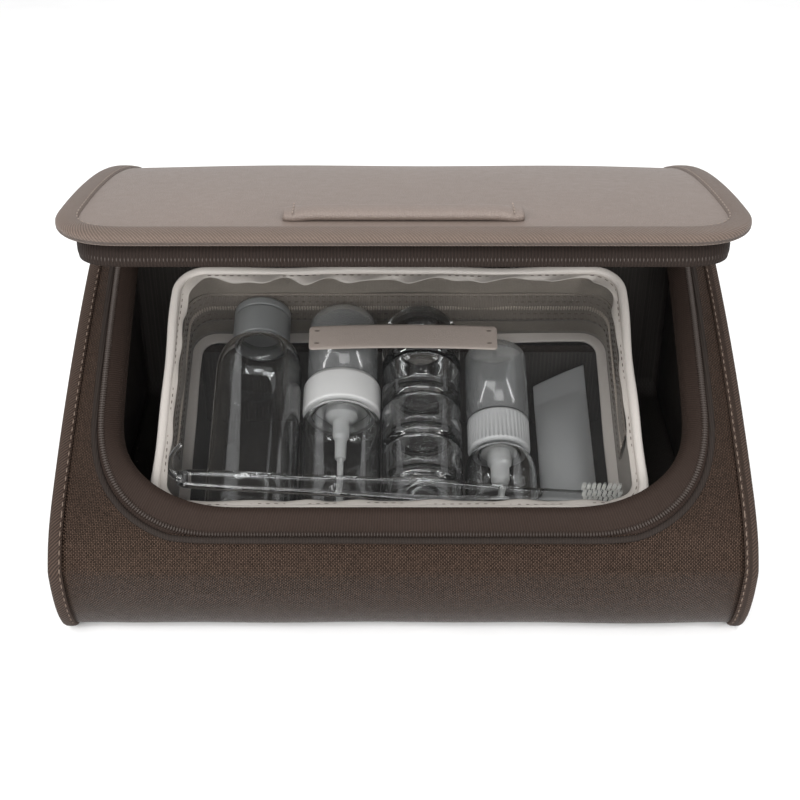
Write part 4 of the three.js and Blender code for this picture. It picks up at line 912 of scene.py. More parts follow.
def top_height(y, offset=0.0):
    """Height of the top curve over y, and an offset from it: z + offset sqrt(1 + slope^2), slope 1.2 at
    most."""
    line = TOP[::-1]
    z = np.interp(y, line[:, 0], line[:, 1])
    return z + offset * np.sqrt(1 + np.clip(top_slope(y), 0, 1.2) ** 2)


def u_path(half, back, curve, middle):
    """A plan's left side, corner curve and half its front, with their mirror image: (x, y) to (-x, y)."""
    side = np.linspace((-half, back), curve[0], 60)[:-1]
    left = np.concatenate([side, curve, middle[1:]])
    return np.concatenate([left, left[::-1][1:] * [-1, 1]])


def opening_path(margin=0.0, offset=0.0, spacing=1.2):
    """The U of the opening as points in space, from the back left round the front to the back right."""
    front, corner, meet = OPENING_FRONT - margin, OPENING_CORNER, OPENING_HALF + margin
    half, back_half = opening_half(np.array([front + corner + margin, OPENING_BACK]), margin)
    curve = quadratic((-half, front + corner), (-meet, front), (-meet + corner, front), 24)
    middle = np.linspace(curve[-1], (0, front), 30)
    plan = even(u_path(back_half, OPENING_BACK, curve, middle), spacing)
    return np.column_stack([plan, top_height(plan[:, 1], offset)])


def top_normals(path):
    """The top curve's upward normal at the y of each path point: (0, -slope, 1), made of length 1."""
    up = np.column_stack([np.zeros(len(path)), -top_slope(path[:, 1]), np.ones(len(path))])
    return up / np.linalg.norm(up, axis=1, keepdims=True)


def ribbon(name, margins, offsets, sunk, wall, material, body, *nodes):
    """A tape between two margins of the opening, as a grid of a few parallel paths. It stands up at the
    front by its offsets and hangs down at the sides by its sunk ones: height = offset + (sunk - offset)
    step(y)."""
    lines = []
    for margin, offset, low in zip(margins, offsets, sunk):
        path = opening_path(margin, offset)
        path[:, 2] += (low - offset) * step(path[:, 1], -72, 40)
        lines.append(sampled(path, np.linspace(0, len(path) - 1, 260), np.arange(len(path))))
    points = np.stack(lines, 1)
    obj = outwards(grid(name, points, uv=metres_uv(distance_along(points[:, 0]), margins)))
    thick(obj, wall, offset=0)
    return dress(obj, material, body, *nodes)


tape = ribbon("zip_tape_body", (0.2, -0.7, -2.5, -4.5, -6.5, -8.8), (-0.5, -0.2, 0.0, 0.9, 1.9, 2.7),
              (-0.5, -0.2, -0.1, -1.4, -3.6, -6.4), 0.8, TAPE, "bag", "zip_tape_body")
edge_path = opening_path(0.5)
edge_path += (swelling(*edge_path.T) - 0.1)[:, None] * top_normals(edge_path)
edge = carried("opening_edge", edge_path, top_normals(edge_path), oval(2.6, 1.7, 12, 2.4))
dress(edge, EDGE, "bag")


def teeth(name, path, up, pitch, size):
    """A zip's coil: rounded teeth across the path, one for each pitch."""
    laid = even(path, pitch)
    lift = sampled(up, np.linspace(0, 1, len(laid)), np.linspace(0, 1, len(up)))
    return beads(name, laid, directions(laid), lift, size, around=8)


coil_path = opening_path(-1.9, 0.4)
coil = teeth("zip_coil_body", coil_path, top_normals(coil_path), 1.15, (0.95, 2.7, 1.6))
dress(coil, COIL, "bag", "zip_coil_body")
print(round(distance_along(coil_path)[-1]), "mm of zip round the opening")

# %% [markdown]
# ## The lid
# A lid modelled open may not fit when it closes. So it is drawn closed, as a shell over the bag's top
# curve, and turned about the rolled seam at the back to the angle of the photograph. Its leatherette panel
# is crowned, and a folded twill binding goes round the edge. The zip band stands under that edge with the
# other half of the coil.


# %% Lid frame
def turned_about_x(degrees):
    """A 4 by 4 matrix that turns y and z: (y cos a - z sin a, y sin a + z cos a)."""
    matrix = np.eye(4)
    c, s = math.cos(math.radians(degrees)), math.sin(math.radians(degrees))
    matrix[1:3, 1:3] = [[c, -s], [s, c]]
    return matrix


LID_MATRIX = turned_about_x(-37.2)
HINGE = np.array([0.0, 84.0, 116.2])
LID_MATRIX[:3, 3] = HINGE - LID_MATRIX[:3, :3] @ HINGE
LID_FRONT, LID_BACK, LID_HALF, LID_CORNER = -90.0, 84.0, 119, 26.0


def lid_half(y, margin=0.0):
    """Half the lid's width over y, let out by a margin."""
    front, front_half = LID_FRONT - margin, LID_HALF + margin
    return half_plan(y, front, LID_BACK, front_half, 126 + margin, LID_CORNER + margin)


def lid_path(margin, offset, back=82.5, spacing=1.2):
    """The lid's plan as a U in space at a distance over the lid's curve, from back left to back right."""
    front, corner, meet = LID_FRONT - margin, LID_CORNER + margin, LID_HALF + margin
    half, back_half = lid_half(np.array([front + corner, back]), margin)
    curve = quadratic((-half, front + corner), (-meet, front), (-meet + corner, front), 16)
    middle = np.linspace(curve[-1], (0, front), 40)
    plan = even(u_path(back_half, back, curve, middle), spacing)
    return np.column_stack([plan, shell_height(plan[:, 1], offset)])


def crowded(count):
    """Places from -1 to 1 that crowd towards both ends: sin(pi t / 2)."""
    return np.sin(np.linspace(-np.pi / 2, np.pi / 2, count))


def lid_sheet(name, margin, offset, crown, rows=90, columns=70, back=81.0):
    """A sheet over the lid's plan, an offset above the lid's curve. It stands out from there, along the top
    curve's normal, by (1 - u^4)(1 - v^6)(crown + a slow wave), with u and v from -1 to 1 across and
    along."""
    u, v = crowded(columns), crowded(rows)
    y = (LID_FRONT - margin) + (back - LID_FRONT + margin) * (v + 1) / 2
    x = u[None] * lid_half(y, margin)[:, None]
    rise = (1 - u[None] ** 4) * (1 - v[:, None] ** 6)
    extra = rise * (crown + 0.22 * np.sin(0.05 * x + 1.0) * np.cos(0.06 * y[:, None]))
    slope = top_slope(y)[:, None]
    long = np.sqrt(1 + slope**2)
    low = shell_height(y, offset)[:, None]
    points = np.stack([x, y[:, None] - extra * slope / long, low + extra / long], -1)
    return outwards(grid(name, moved(points, LID_MATRIX), uv=np.stack([x, y[:, None] + 0 * x], -1) * MM))


# %% Lid shell
panel = thick(lid_sheet("lid_panel", -7.4, 12.9, 1.2), 2.8)
dress(panel, LEATHER, "lid", "lid_panel", slot="leatherette")
under = thick(lid_sheet("lid_lining", -11.5, 8.6, 0.0, 60, 40), 0.6)
dress(under, LINING, "lid", "lid_lining")
bead_path = lid_path(-3.9, 11.9)
bead = carried("lid_binding", bead_path, top_normals(bead_path), oval(8.2, 4.6, 24, 3.0), matrix=LID_MATRIX)
dress(bead, TWILL, "lid", "lid_binding")
row = lid_path(-6.9, 13.75, spacing=3.5)
thread = beads("lid_stitches", row, directions(row), top_normals(row), (2.4, 0.6, 0.45), matrix=LID_MATRIX)
dress(thread, THREAD_PALE, "lid")


# %% Zip band
def drawn_up(y):
    """How much higher the band and its coil end towards the back, to leave room for the parked sliders."""
    return 5.0 * step(y, 20, 16)


def band(name, margin, offsets, bulge):
    """The zip band: a fabric wall that hangs from the lid's edge, let out by bulge sin(pi t) on its way
    down."""
    lines = []
    for t, offset in zip(np.linspace(0, 1, len(offsets)), offsets):
        path = lid_path(margin + bulge * np.sin(np.pi * t), offset)
        path[:, 2] += t * drawn_up(path[:, 1])
        lines.append(sampled(path, np.linspace(0, 1, 300), np.linspace(0, 1, len(path))))
    points = np.stack(lines, 1)
    uv = metres_uv(distance_along(points[:, 0]), offsets)
    return outwards(grid(name, moved(points, LID_MATRIX), uv=uv))


hanging = thick(band("lid_zip_band", -8.4, np.linspace(9.8, 1.4, 8), 0.9), 1.2, offset=0)
dress(hanging, BAND, "lid", "lid_zip_band")
lid_coil = even(lid_path(-8.1, 3.2), 1.3)
lid_coil[:, 2] += drawn_up(lid_coil[:, 1])
along, up = directions(lid_coil), top_normals(lid_coil)
coil = beads("lid_zip_coil", lid_coil, along, up, (0.85, 1.9, 3.2), 8, matrix=LID_MATRIX)
dress(coil, COIL, "lid", "lid_zip_coil")

# %% Strap handle
STRAP_HALF, STRAP_Y = 41, -72.0
X_AXIS = np.array([1.0, 0, 0])
reach = np.linspace(-STRAP_HALF, STRAP_HALF, 90)
from_end = STRAP_HALF - np.abs(reach)
strap_up = top_normals(np.array([[0, STRAP_Y, 0.0]]))[0]
strap_base = np.array([0, STRAP_Y, shell_height(STRAP_Y, 13.4)])
rise = 1.3 + 0.7 * step(from_end, 0, 12)
strap_path = strap_base + reach[:, None] * X_AXIS + rise[:, None] * strap_up
pinch = 0.8 + 0.2 * np.sqrt(np.clip(from_end / 3, 0, 1))
section = oval(10.2, 4.0, 28, 2.5)
strap = carried("lid_handle", strap_path, alike(strap_up, reach), section, matrix=LID_MATRIX, scale=pinch)
dress(strap, LEATHER, "lid", "lid_handle")
across = np.cross(strap_up, X_AXIS)
for end in (-1, 1):
    row = strap_base + end * 37.5 * X_AXIS + 3.6 * strap_up + np.linspace(-4.2, 4.2, 4)[:, None] * across
    thread = beads("handle_stitches", row, alike(across, row), alike(strap_up, row), (2.0, 0.6, 0.5),
                   matrix=LID_MATRIX)
    dress(thread, THREAD_PALE, "lid")

# %% Rolled seam
roll_line = np.linspace(-114, 114, 60)[:, None] * X_AXIS + HINGE
roll = carried("hinge_roll", roll_line, alike([0, 0, 1], roll_line), oval(7.8, 7.8, 24))
dress(roll, DARK_TWILL, "bag", "hinge_roll")
print(len(panel.data.vertices), "points in the lid's panel,", len(strap.data.vertices), "in its strap")

# %% [markdown]
# ## The clear pouch
# The pouch leans back in the bag. Its own frame has X across, Y up its height and Z towards the front
# window, so its pieces are drawn upright and one matrix leans them. The windows are gathered into padded
# white frames, so the film is rippled most beside them, and the woven gusset between the frames buckles a
# little. A cloth simulation could wrinkle them too, but waves that die away from a seam are quick to set
# and come out the same on every run.


# %% Pouch frame and outline
POUCH_MATRIX = turned_about_x(22.6)
POUCH_MATRIX[:3, 3] = [0.0, -49.0, 4.9]
POUCH_LEFT, POUCH_RIGHT, POUCH_TALL = -100.5, 97.5, 124
Z_AXIS = np.array([0.0, 0, 1.0])


def window_box(inset):
    """The pouch's left, right, lower and upper side, each drawn in by a distance."""
    return POUCH_LEFT + inset, POUCH_RIGHT - inset, inset, POUCH_TALL - inset


def window_path(inset, corner=None, wobble=0.0, spacing=1.5):
    """The pouch's rounded outline drawn in by a distance, anticlockwise, with a slow wobble in the plane,
    of sin s + 0.6 sin(2.3 s)."""
    x0, x1, y0, y1 = window_box(inset)
    r = max(2.0, 13 - 0.5 * inset) if corner is None else corner
    path = np.concatenate([
        arc((x1 - r, y0 + r), r, -90, 0, 12), arc((x1 - r, y1 - r), r, 0, 90, 12),
        arc((x0 + r, y1 - r), r, 90, 180, 12), arc((x0 + r, y0 + r), r, 180, 270, 12),
    ])
    path = even(path, spacing, closed=True)
    run = np.arange(len(path)) * spacing
    shift = wobble * (np.sin(run / 17.0 + 1) + 0.6 * np.sin(run / 7.3))
    return path + shift[:, None] * normals(path)


def rim_bead(name, inset, z, width, height, material, node, wobble=0.3):
    """A padded frame: a flat oval carried round the outline, its width breathing slightly."""
    plan = window_path(inset, wobble=wobble)
    path = np.column_stack([plan, z + 0.35 * np.sin(np.arange(len(plan)) / 11.0)])
    breath = 1 + 0.04 * np.sin(np.arange(len(plan)) / 5.0)
    section = oval(width, height, 22, 2.7)
    obj = carried(name, path, alike(Z_AXIS, plan), section, closed=True, matrix=POUCH_MATRIX, scale=breath)
    return dress(obj, material, "pouch", node)


front_bead = rim_bead("front_bead", 2.0, 46.0, 3.9, 4.4, TRIM, "pouch_front_frame")
back_bead = rim_bead("back_bead", 4.0, 1.0, 8.0, 2.0, TRIM, "pouch_back_frame", 0.2)
plan = window_path(4.7, wobble=0.3, spacing=3.3)
row = np.column_stack([plan, np.full(len(plan), 46.7)])
thread = beads("pouch_stitches_inner", row, directions(row, True), alike(Z_AXIS, row), (2.1, 0.5, 0.45),
               matrix=POUCH_MATRIX)
dress(thread, THREAD, "pouch")


# %% Gathered edge of the front window
def gathered_edge():
    """The window's own hem inside the padded frame: a white strip whose free edge is drawn into waves. Its
    point is (1 - t) out + t (low + inward (a + b wave)), and it ripples up by t^2 sin s. Both are widest
    along the top, where the film is gathered most."""
    at = np.linspace(0, 1, 640, endpoint=False)
    loops = []
    for inset, corner in ((3.2, 11.0), (6.0, 9.0)):
        plan = window_path(inset, corner=corner, spacing=1.0)
        closed = np.vstack([plan, plan[:1]])
        loops.append(sampled(closed, at, np.linspace(0, 1, len(closed))))
    out, low = loops
    inward = low - out
    inward /= np.linalg.norm(inward, axis=1, keepdims=True)
    top = np.clip((low[:, 1] - 92) / 18, 0, 1)
    run = at * 600
    phase = run / 4.4 + 1.3 * np.sin(run / 19)
    wave = np.sin(phase) + 0.5 * np.sin(run / 2.7 + 1)
    far = low + inward * ((0.4 + 1.2 * top) + wave * (0.35 + 1.3 * top))[:, None]
    t = np.linspace(0, 1, 10)
    flat = out[:, None] * (1 - t)[None, :, None] + far[:, None] * t[None, :, None]
    ripple = np.sin(phase + 1.1)[:, None] * t[None] ** 2 * (0.35 + 0.9 * top)[:, None]
    z = 46.2 + 0.5 * np.sin(np.pi * t)[None] + ripple
    points = moved(np.concatenate([flat, z[..., None]], -1), POUCH_MATRIX)
    return thick(outwards(grid("gathered", points, True, uv=metres_uv(run, t * 5))), 0.35, offset=0)


hem = gathered_edge()
dress(hem, SHADED_HEM, "pouch")

# %% Windows
def rounded_half(y, half_x, half_y, corner):
    """Half the width, at a height y, of an oblong with round corners: half_x - corner + sqrt(corner^2 -
    into^2), where into is how far y goes into the corner."""
    into = np.clip(np.abs(y) - (half_y - corner), 0, corner)
    return half_x - corner + np.sqrt(corner**2 - into**2)


def window_film(name, inset, z, ripple, node, seed):
    """A clear sheet in a frame. Its ripples are waves that run along the edge and die away from it, exp(-d
    / 12) sin(y / 4.6) from the sides and exp(-d / 13) sin(x / 5.4) from the ends, plus a slow sag of the
    middle."""
    x0, x1, y0, y1 = window_box(inset)
    half_y = (y1 - y0) / 2
    y = half_y * crowded(110)
    half_x = rounded_half(y, (x1 - x0) / 2, half_y, 9.0)
    x = (x0 + x1) / 2 + crowded(150)[None] * half_x[:, None]
    y = (y0 + y1) / 2 + y[:, None] + 0 * x
    side = np.minimum(x - x0, x1 - x)
    end = np.minimum(y - y0, y1 - y)
    a, b, c, d = np.random.default_rng(seed).uniform(0, 6.28, 4)
    wave = np.exp(-side / 12) * np.sin(y / 4.6 + a + 0.5 * np.sin(y / 11))
    wave = wave + np.exp(-end / 13) * np.sin(x / 5.4 + b + 0.8 * np.sin(x / 17))
    slow = np.sin(x / 31 + c) * np.sin(y / 23 + d)
    mask = np.clip(np.minimum(side, end) / 2.5, 0, 1)
    height = z + (ripple * wave + 0.4 * slow) * mask
    obj = thick(outwards(grid(name, moved(np.stack([x, y, height], -1), POUCH_MATRIX))), 0.3, offset=0)
    dress(obj, FILM, "pouch", node)


# The film is a thin blend and not glass: a glass sheet would throw a shadow on all that it covers.
FILM = hard("clear_film", (120, 120, 120), rough=0.02, ior=1.45, smudge=0.04, alpha=0.03)
window_film("front_film", 5.4, 46.2, 0.55, "pouch_front_film", 3)
window_film("back_film", 6.8, 0.6, 0.35, "pouch_back_film", 5)


# %% Gusset and its zip
ZIP_START = 46.0  # how far up the pouch's sides its zip begins


def over_the_top(plan):
    """The part of a closed outline from the zip's start on the right, over the top, to its end on the
    left."""
    wrong_side = 400
    off = np.abs(plan[:, 1] - ZIP_START)
    first = int(np.argmin(off + wrong_side * (plan[:, 0] < 0)))
    last = int(np.argmin(off + wrong_side * (plan[:, 0] > 0)))
    return plan[first : last + 1]


def gusset(name, inset, low, high, wall, buckle, whole):
    """A fabric band between the frames, all round or only along the zip. It buckles in and out: point =
    outline - buckle sin(pi t) (sin(s / 9) + 0.7 sin(s / 23)) out, where t goes from 0 to 1 across the
    band."""
    plan = window_path(inset)
    plan = plan if whole else over_the_top(plan)
    t = np.linspace(0, 1, 14)
    run = np.arange(len(plan)) * 1.5
    wave = buckle * np.sin(np.pi * t)[None] * (np.sin(run / 9.0) + 0.7 * np.sin(run / 23.0 + 2))[:, None]
    xy = plan[:, None] - wave[..., None] * normals(plan, whole)[:, None]
    z = low + (high - low) * t
    points = np.concatenate([xy, np.broadcast_to(z[None, :, None], (*xy.shape[:2], 1))], -1)
    obj = outwards(grid(name, moved(points, POUCH_MATRIX), round_rows=whole, uv=metres_uv(run, z)))
    return thick(obj, wall, offset=0)


wall = gusset("gusset_wall", 3.0, 1.6, 44.6, 1.0, 0.45, whole=True)
dress(wall, GUSSET, "pouch", "pouch_gusset")
tape = gusset("gusset_tape", 1.9, 13.0, 33.0, 0.8, 0.1, whole=False)
dress(tape, GUSSET_TAPE, "pouch", "pouch_zip_tape")
inner = gusset("gusset_inner_tape", 4.1, 13.0, 33.0, 0.6, 0.45, whole=False)
dress(inner, GUSSET_TAPE, "pouch")


def gusset_beads(name, inset, z, spacing, size, around=6):
    """Teeth or stitches round the top and sides of the gusset, at one depth z between the windows."""
    plan = over_the_top(window_path(inset, spacing=spacing))
    path = np.column_stack([plan, np.full(len(plan), z)])
    along = directions(path)
    out = np.column_stack([along[:, 1], -along[:, 0], np.zeros(len(along))])
    return beads(name, path, along, out, size, around, matrix=POUCH_MATRIX)


coil = gusset_beads("pouch_coil", 1.0, 23.0, 1.2, (1.0, 3.4, 1.1), 8)
dress(coil, COIL_LIGHT, "pouch", "pouch_zip_coil")
dress(gusset_beads("pouch_coil", 4.7, 23.0, 1.2, (1.0, 3.4, 1.1), 8), COIL_LIGHT, "pouch")
for z in (14.6, 18.6, 27.4, 31.4):
    dress(gusset_beads("gusset_stitches", 4.55, z, 3.1, (1.9, 0.5, 0.5)), THREAD, "pouch")
print(len(wall.data.vertices), "points in the gusset,", len(coil.data.vertices), "in its coil")


# %% Name plate, left bare
PLATE_AT = (0.1, 84.3, 48.6)


def plate():
    """A leatherette tab with rounded corners. Its edge is rolled down by 0.6 exp(-d / 0.45), with d the
    distance to the edge, and it is arched along its length by 1 - (x / half)^2."""
    half_x, half_y = 40.0, 6.2
    flat_y = half_y * crowded(24)
    reach = rounded_half(flat_y, half_x, half_y, 1.8)[:, None]
    x = crowded(90)[None] * reach
    arch = 1 - (x / half_x) ** 2
    edge = np.minimum(reach - np.abs(x), half_y - np.abs(flat_y)[:, None])
    roll = 0.6 * np.exp(-np.clip(edge, 0, 9) / 0.45)
    points = np.stack([x, flat_y[:, None] + 0.9 * arch, 0.3 * arch - roll], -1) + PLATE_AT
    return grid("plate", moved(points, POUCH_MATRIX))


tab = thick(outwards(plate()), 1.3)
dress(tab, PLATE_LEATHER, "pouch", "pouch_plate")
ends = np.array([[0.1 + sx * 36.6, 84.4 + sy * 3.2, 48.75] for sx in (-1, 1) for sy in (-1, 1)])
marks = beads("plate_stitches", ends, alike(X_AXIS, ends), alike(Z_AXIS, ends), (2.4, 0.7, 0.6),
              matrix=POUCH_MATRIX)
dress(marks, THREAD, "pouch")
print(len(tab.data.vertices), "points in the plate")

# %% [markdown]
# ## Bottles, jars and tools
# Everything in the pouch is moulded plastic, so each round piece is a profile turned about its own axis, as
# its mould was. A cylinder with a bevel would be quicker, but a bottle's foot, shoulder and neck would be
# lost. The walls have an inside and an outside, because light has to bend at both for clear plastic to look
# like it.


# %% Moulded profiles
SEAT = 3.9  # how far up the pouch its contents stand
BED = 1.9  # how far in front of the back they lie


def dome(body, neck, low, height, steps=12):
    """A quarter ellipse from a body's radius up to a neck's: (neck + (body - neck) cos a, low + height sin
    a)."""
    a = np.linspace(0, np.pi / 2, steps)
    return np.column_stack([neck + (body - neck) * np.cos(a), low + height * np.sin(a)])


def blown(radius, body, rise, neck, neck_height, wall=1.1, foot=3.0):
    """A bottle with a pushed-up floor, a foot rounded by (r - foot + foot sin a, foot - foot cos a), an
    oval shoulder and an open neck: first its outside from the floor up, then its inside back down."""
    a = np.linspace(0.2, np.pi / 2, 7)
    turn = np.column_stack([radius - foot + foot * np.sin(a), foot - foot * np.cos(a)])
    outside = np.concatenate([
        [(0, 0.9), (radius * 0.45, 0.8), (radius * 0.62, 0.0), (radius - foot, 0.0)],
        turn,
        dome(radius, neck, body, rise, 14),
        [(neck, body + rise + neck_height)],
    ])
    inside = np.concatenate([
        [(neck - wall, body + rise + neck_height)],
        dome(radius - wall, neck - wall, body - 0.4, rise, 14)[::-1],
        (turn + (-wall, 1.5))[::-1],
        [(radius * 0.45, 2.4), (0, 2.6)],
    ])
    return np.concatenate([outside, inside])


def overcap(radius, height, rise, steps):
    """A domed cap open below: a wall of 1.2 mm, straight and then a quarter ellipse, up outside and down
    inside."""
    inner = radius - 1.2
    return np.concatenate([
        [(inner, 0), (radius, 0)], dome(radius, 0.01, height - rise, rise, steps),
        dome(inner, 0.01, height - rise - 1.2, rise, steps)[::-1], [(inner, 0)],
    ])


def standing(name, profile, x, radius, low, material, node, steps=80):
    """A turned piece in the pouch that stands for a node: its axis runs up the pouch, a radius before the
    bed."""
    obj = turned(name, profile, (x, low, BED + radius), steps, POUCH_MATRIX)
    return dress(obj, material, "pouch", node)


def ring_of(corners, radius):
    """A closed profile with rounded corners, whose last point is its first."""
    ring = rounded(corners, radius, 3, closed=True)
    return np.vstack([ring, ring[:1]])


BOTTLE_X, FOAM_X, JAR_X, SPRAY_X, TUBE_X = -63.4, -26.6, 8.2, 41.3, 70.4

# %% Flip-top bottle
BOTTLE_R = 19
bottle = blown(BOTTLE_R, 80, 15.5, 10.5, 7)
standing("flip_bottle", bottle, BOTTLE_X, BOTTLE_R, SEAT, CLEAR, "bottle_body", 96)
cap = ring_of([(10.8, 0), (12.3, 0), (12.7, 0.5), (12.7, 13.4), (12.2, 14), (3.2, 14), (3.2, 12.8),
               (2.1, 12.8), (2.1, 7.6), (10.8, 7.6)], 0.4)
standing("flip_base", cap, BOTTLE_X, BOTTLE_R, 99.7, GREY, "flip_cap_base")
cap = rounded([(0, 0), (12.3, 0), (12.7, 0.4), (12.7, 3.2), (11.4, 4.9), (0, 5)], 0.7, 5)
standing("flip_lid", cap, BOTTLE_X, BOTTLE_R, 114.0, GREY, "flip_cap_lid")

# %% Foam pump
FOAM_R, FOAM_BODY, FOAM_SHOULDER = 17.2, 52.6, 6.6
FOAM_NECK = SEAT + (FOAM_BODY + FOAM_SHOULDER)
Y_AXIS = np.array([0.0, 1, 0])
bottle = blown(FOAM_R, FOAM_BODY, FOAM_SHOULDER, 13.4, 6)
standing("foam_bottle", bottle, FOAM_X, FOAM_R, SEAT, CLEAR, "foam_bottle", 96)
collar = ring_of([(13.7, 0), (16.4, 0), (16.9, 0.6), (16.9, 13.2), (15.7, 15.3), (6.8, 15.4), (6.8, 20),
                  (5.3, 20), (5.3, 6.3), (13.7, 6.3)], 0.5)
standing("foam_collar", collar, FOAM_X, FOAM_R, FOAM_NECK + 0.3, WHITE, "foam_collar", 96)
pump = rounded([(0, 0), (11.9, 0), (11.9, -3), (7.2, -3), (7.2, -7), (5.2, -9), (3.6, -9.6), (3.6, -17),
                (2.6, -18.6), (2.4, -28), (1.4, -28), (1.4, -61.4), (0, -61.4)], 0.5, 3)
standing("foam_engine", pump, FOAM_X, FOAM_R, FOAM_NECK + 6.3, WHITE, "foam_engine")
HEAD_LOW = FOAM_NECK + 0.3 + 15.4 + 6.3
head = rounded([(0, -9.5), (5.0, -9.5), (5.0, 4.9), (7.4, 4.9), (7.4, 0), (8.6, 0), (8.6, 18.2), (7.6, 22.5),
                (5.9, 24.7), (0, 26)], 0.8, 5)
press = turned("foam_head", head, (FOAM_X, HEAD_LOW, BED + FOAM_R), 64, POUCH_MATRIX)
t = np.linspace(0, 1, 20)
nose_path = np.column_stack([FOAM_X + 0 * t, HEAD_LOW + 16.2 - 1.6 * t**2, BED + FOAM_R + 2 + 9.4 * t])
nose = carried("foam_nose", nose_path, alike(Y_AXIS, t), oval(7.4, 4.6, 24, 2.6), matrix=POUCH_MATRIX,
               scale=1.0 - 0.18 * t)
press = joined("foam_head", [press, nose])
dress(press, WHITE, "foam_head", "foam_pump_head")
over = overcap(15.4, 40.3, 10, 16)
standing("foam_overcap", over, FOAM_X, FOAM_R, FOAM_NECK + 0.3 + 15.7, FROST_CAP, "foam_overcap", 96)

# %% Jars
JAR_R, JAR_PITCH, JARS, SKIRT = 17.3, 20.8, 4, 4.7


def jar_thread(low):
    """The raised thread round a jar's neck: a small oval carried up a helix of 2.2 turns."""
    turn = np.linspace(0, 2.2 * 2 * np.pi, 150)
    out = np.column_stack([np.cos(turn), 0 * turn, np.sin(turn)])
    centre = (JAR_X, low + 21.4, BED + JAR_R)
    path = centre + 14.55 * out + (turn / (2 * np.pi) * 1.25)[:, None] * Y_AXIS
    return carried("jar_thread", path, out, oval(0.55, 0.4, 8), matrix=POUCH_MATRIX)


for level in range(JARS):
    low = SEAT + level * JAR_PITCH
    under = [(0, SKIRT), (14.9, SKIRT), (14.9, 0)] if level else [(0, 0)]
    bottom = SKIRT + 1.6 if level else 1.6
    jar = rounded([*under, (15.6, 0), (JAR_R, 1.7), (JAR_R, 18.4), (15.7, 20.5), (14.6, 20.5), (14.6, 24.9),
                   (13.4, 24.9), (13.4, bottom + 2), (12, bottom), (0, bottom)], 1.6, 5)
    standing(f"jar_{level + 1}", jar, JAR_X, JAR_R, low, CLEAR, f"jar_{level + 1}", 96)
    dress(jar_thread(low), CLEAR, "pouch")
cap = [(0, SKIRT), (14.9, SKIRT), (14.9, 0), (15.8, 0), (JAR_R, 1.5), (JAR_R, 15)]
cap = np.concatenate([cap, dome(JAR_R, 0.01, 16, 16, 18)])
standing("jar_dome", cap, JAR_X, JAR_R, SEAT + JARS * JAR_PITCH, CLEAR, "jar_lid", 96)

# %% Spray bottle
SPRAY_R, SPRAY_BODY, SPRAY_SHOULDER = 15.3, 30, 11.5
SPRAY_NECK = SEAT + (SPRAY_BODY + SPRAY_SHOULDER)
bottle = blown(SPRAY_R, SPRAY_BODY, SPRAY_SHOULDER, 9.5, 4)
standing("spray_bottle", bottle, SPRAY_X, SPRAY_R, SEAT, CLEAR, "spray_bottle", 96)


def ribbed(name, profile, centre, ribs, shade_and_tone, low, high):
    """A turned piece whose wall goes in and out between two heights: r - depth (0.5 - 0.5 cos(ribs
    a))^3."""
    angle = np.linspace(0, 2 * np.pi, ribs * 8, endpoint=False)
    valley = shade_and_tone * (0.5 - 0.5 * np.cos(ribs * angle)) ** 3
    profile = np.asarray(profile, float)
    outer = (profile[:, 0] > 12.9) & (profile[:, 1] > low) & (profile[:, 1] < high)
    radius = profile[:, :1] - outer[:, None] * valley
    points = np.stack([radius * np.cos(angle), profile[:, 1:] + 0 * radius, radius * np.sin(angle)], -1)
    points = moved(points + centre, POUCH_MATRIX)
    return outwards(grid(name, points, round_columns=True), merge=POLE_WELD)


ring = [(9.8, 0), (12.6, 0), (13.2, 0.5), (13.4, 1.2), (13.4, 1.6), (13.4, 7), (13.4, 13.2), (13.4, 14.2),
        (13.2, 15.2), (12.6, 15.6), (6.0, 15.6), (6.0, 20.8), (3.5, 20.8), (3.5, 4.3), (9.8, 4.3), (9.8, 0)]
collar = ribbed("spray_collar", ring, (SPRAY_X, SPRAY_NECK + 0.3, BED + SPRAY_R), 44, 0.7, 1.4, 14.0)
dress(collar, PALE, "pouch", "spray_collar")
pump = rounded([(0, 0), (8, 0), (8, -4), (5.2, -4), (5.2, -9.6), (4, -11), (4, -18), (2.6, -20), (1.4, -20),
                (1.4, -43.4), (0, -43.4)], 0.5, 3)
standing("spray_engine", pump, SPRAY_X, SPRAY_R, SPRAY_NECK + 4.3, WHITE, "spray_engine")
HEAD_LOW = SPRAY_NECK + 0.3 + 15.6 + 4.3
head = rounded([(0, -11.0), (3.2, -11.0), (3.2, 5.5), (6.2, 5.5), (6.2, 0), (7.4, 0), (7.4, 1.2), (6.9, 15),
                (6.3, 19), (4.8, 21.6), (0, 22)], 0.8, 5)
press = turned("spray_head", head, (SPRAY_X, HEAD_LOW, BED + SPRAY_R), 64, POUCH_MATRIX)
t = np.linspace(0, 1, 8)
jet_path = np.column_stack([SPRAY_X + 0 * t, HEAD_LOW + 13.2 + 0 * t, BED + SPRAY_R + 4.4 + 3.4 * t])
jet = carried("spray_jet", jet_path, alike(Y_AXIS, t), oval(4.2, 4.2, 24), matrix=POUCH_MATRIX)
press = joined("spray_head", [press, jet])
dress(press, WHITE, "mist_head", "spray_head")
CAP_LOW, CAP_TOP = SPRAY_NECK + 0.3 + 15.9, 101
over = overcap(13.6, CAP_TOP - CAP_LOW, 6.8, 14)
standing("spray_overcap", over, SPRAY_X, SPRAY_R, CAP_LOW, FROST_CAP, "spray_overcap", 96)

# %% [markdown]
# ## Tube and toothbrush
# A squeeze tube is round at its cap and pressed flat at its seal. A scaled cylinder would be as thin in the
# middle, so here only the depth of each ring shrinks on the way up. The toothbrush is an oval carried along
# its length, with its width given at ten places, and each tuft is a bundle of hairs that lean a little at
# random.


# %% Squeeze tube
TUBE_R = 11.8


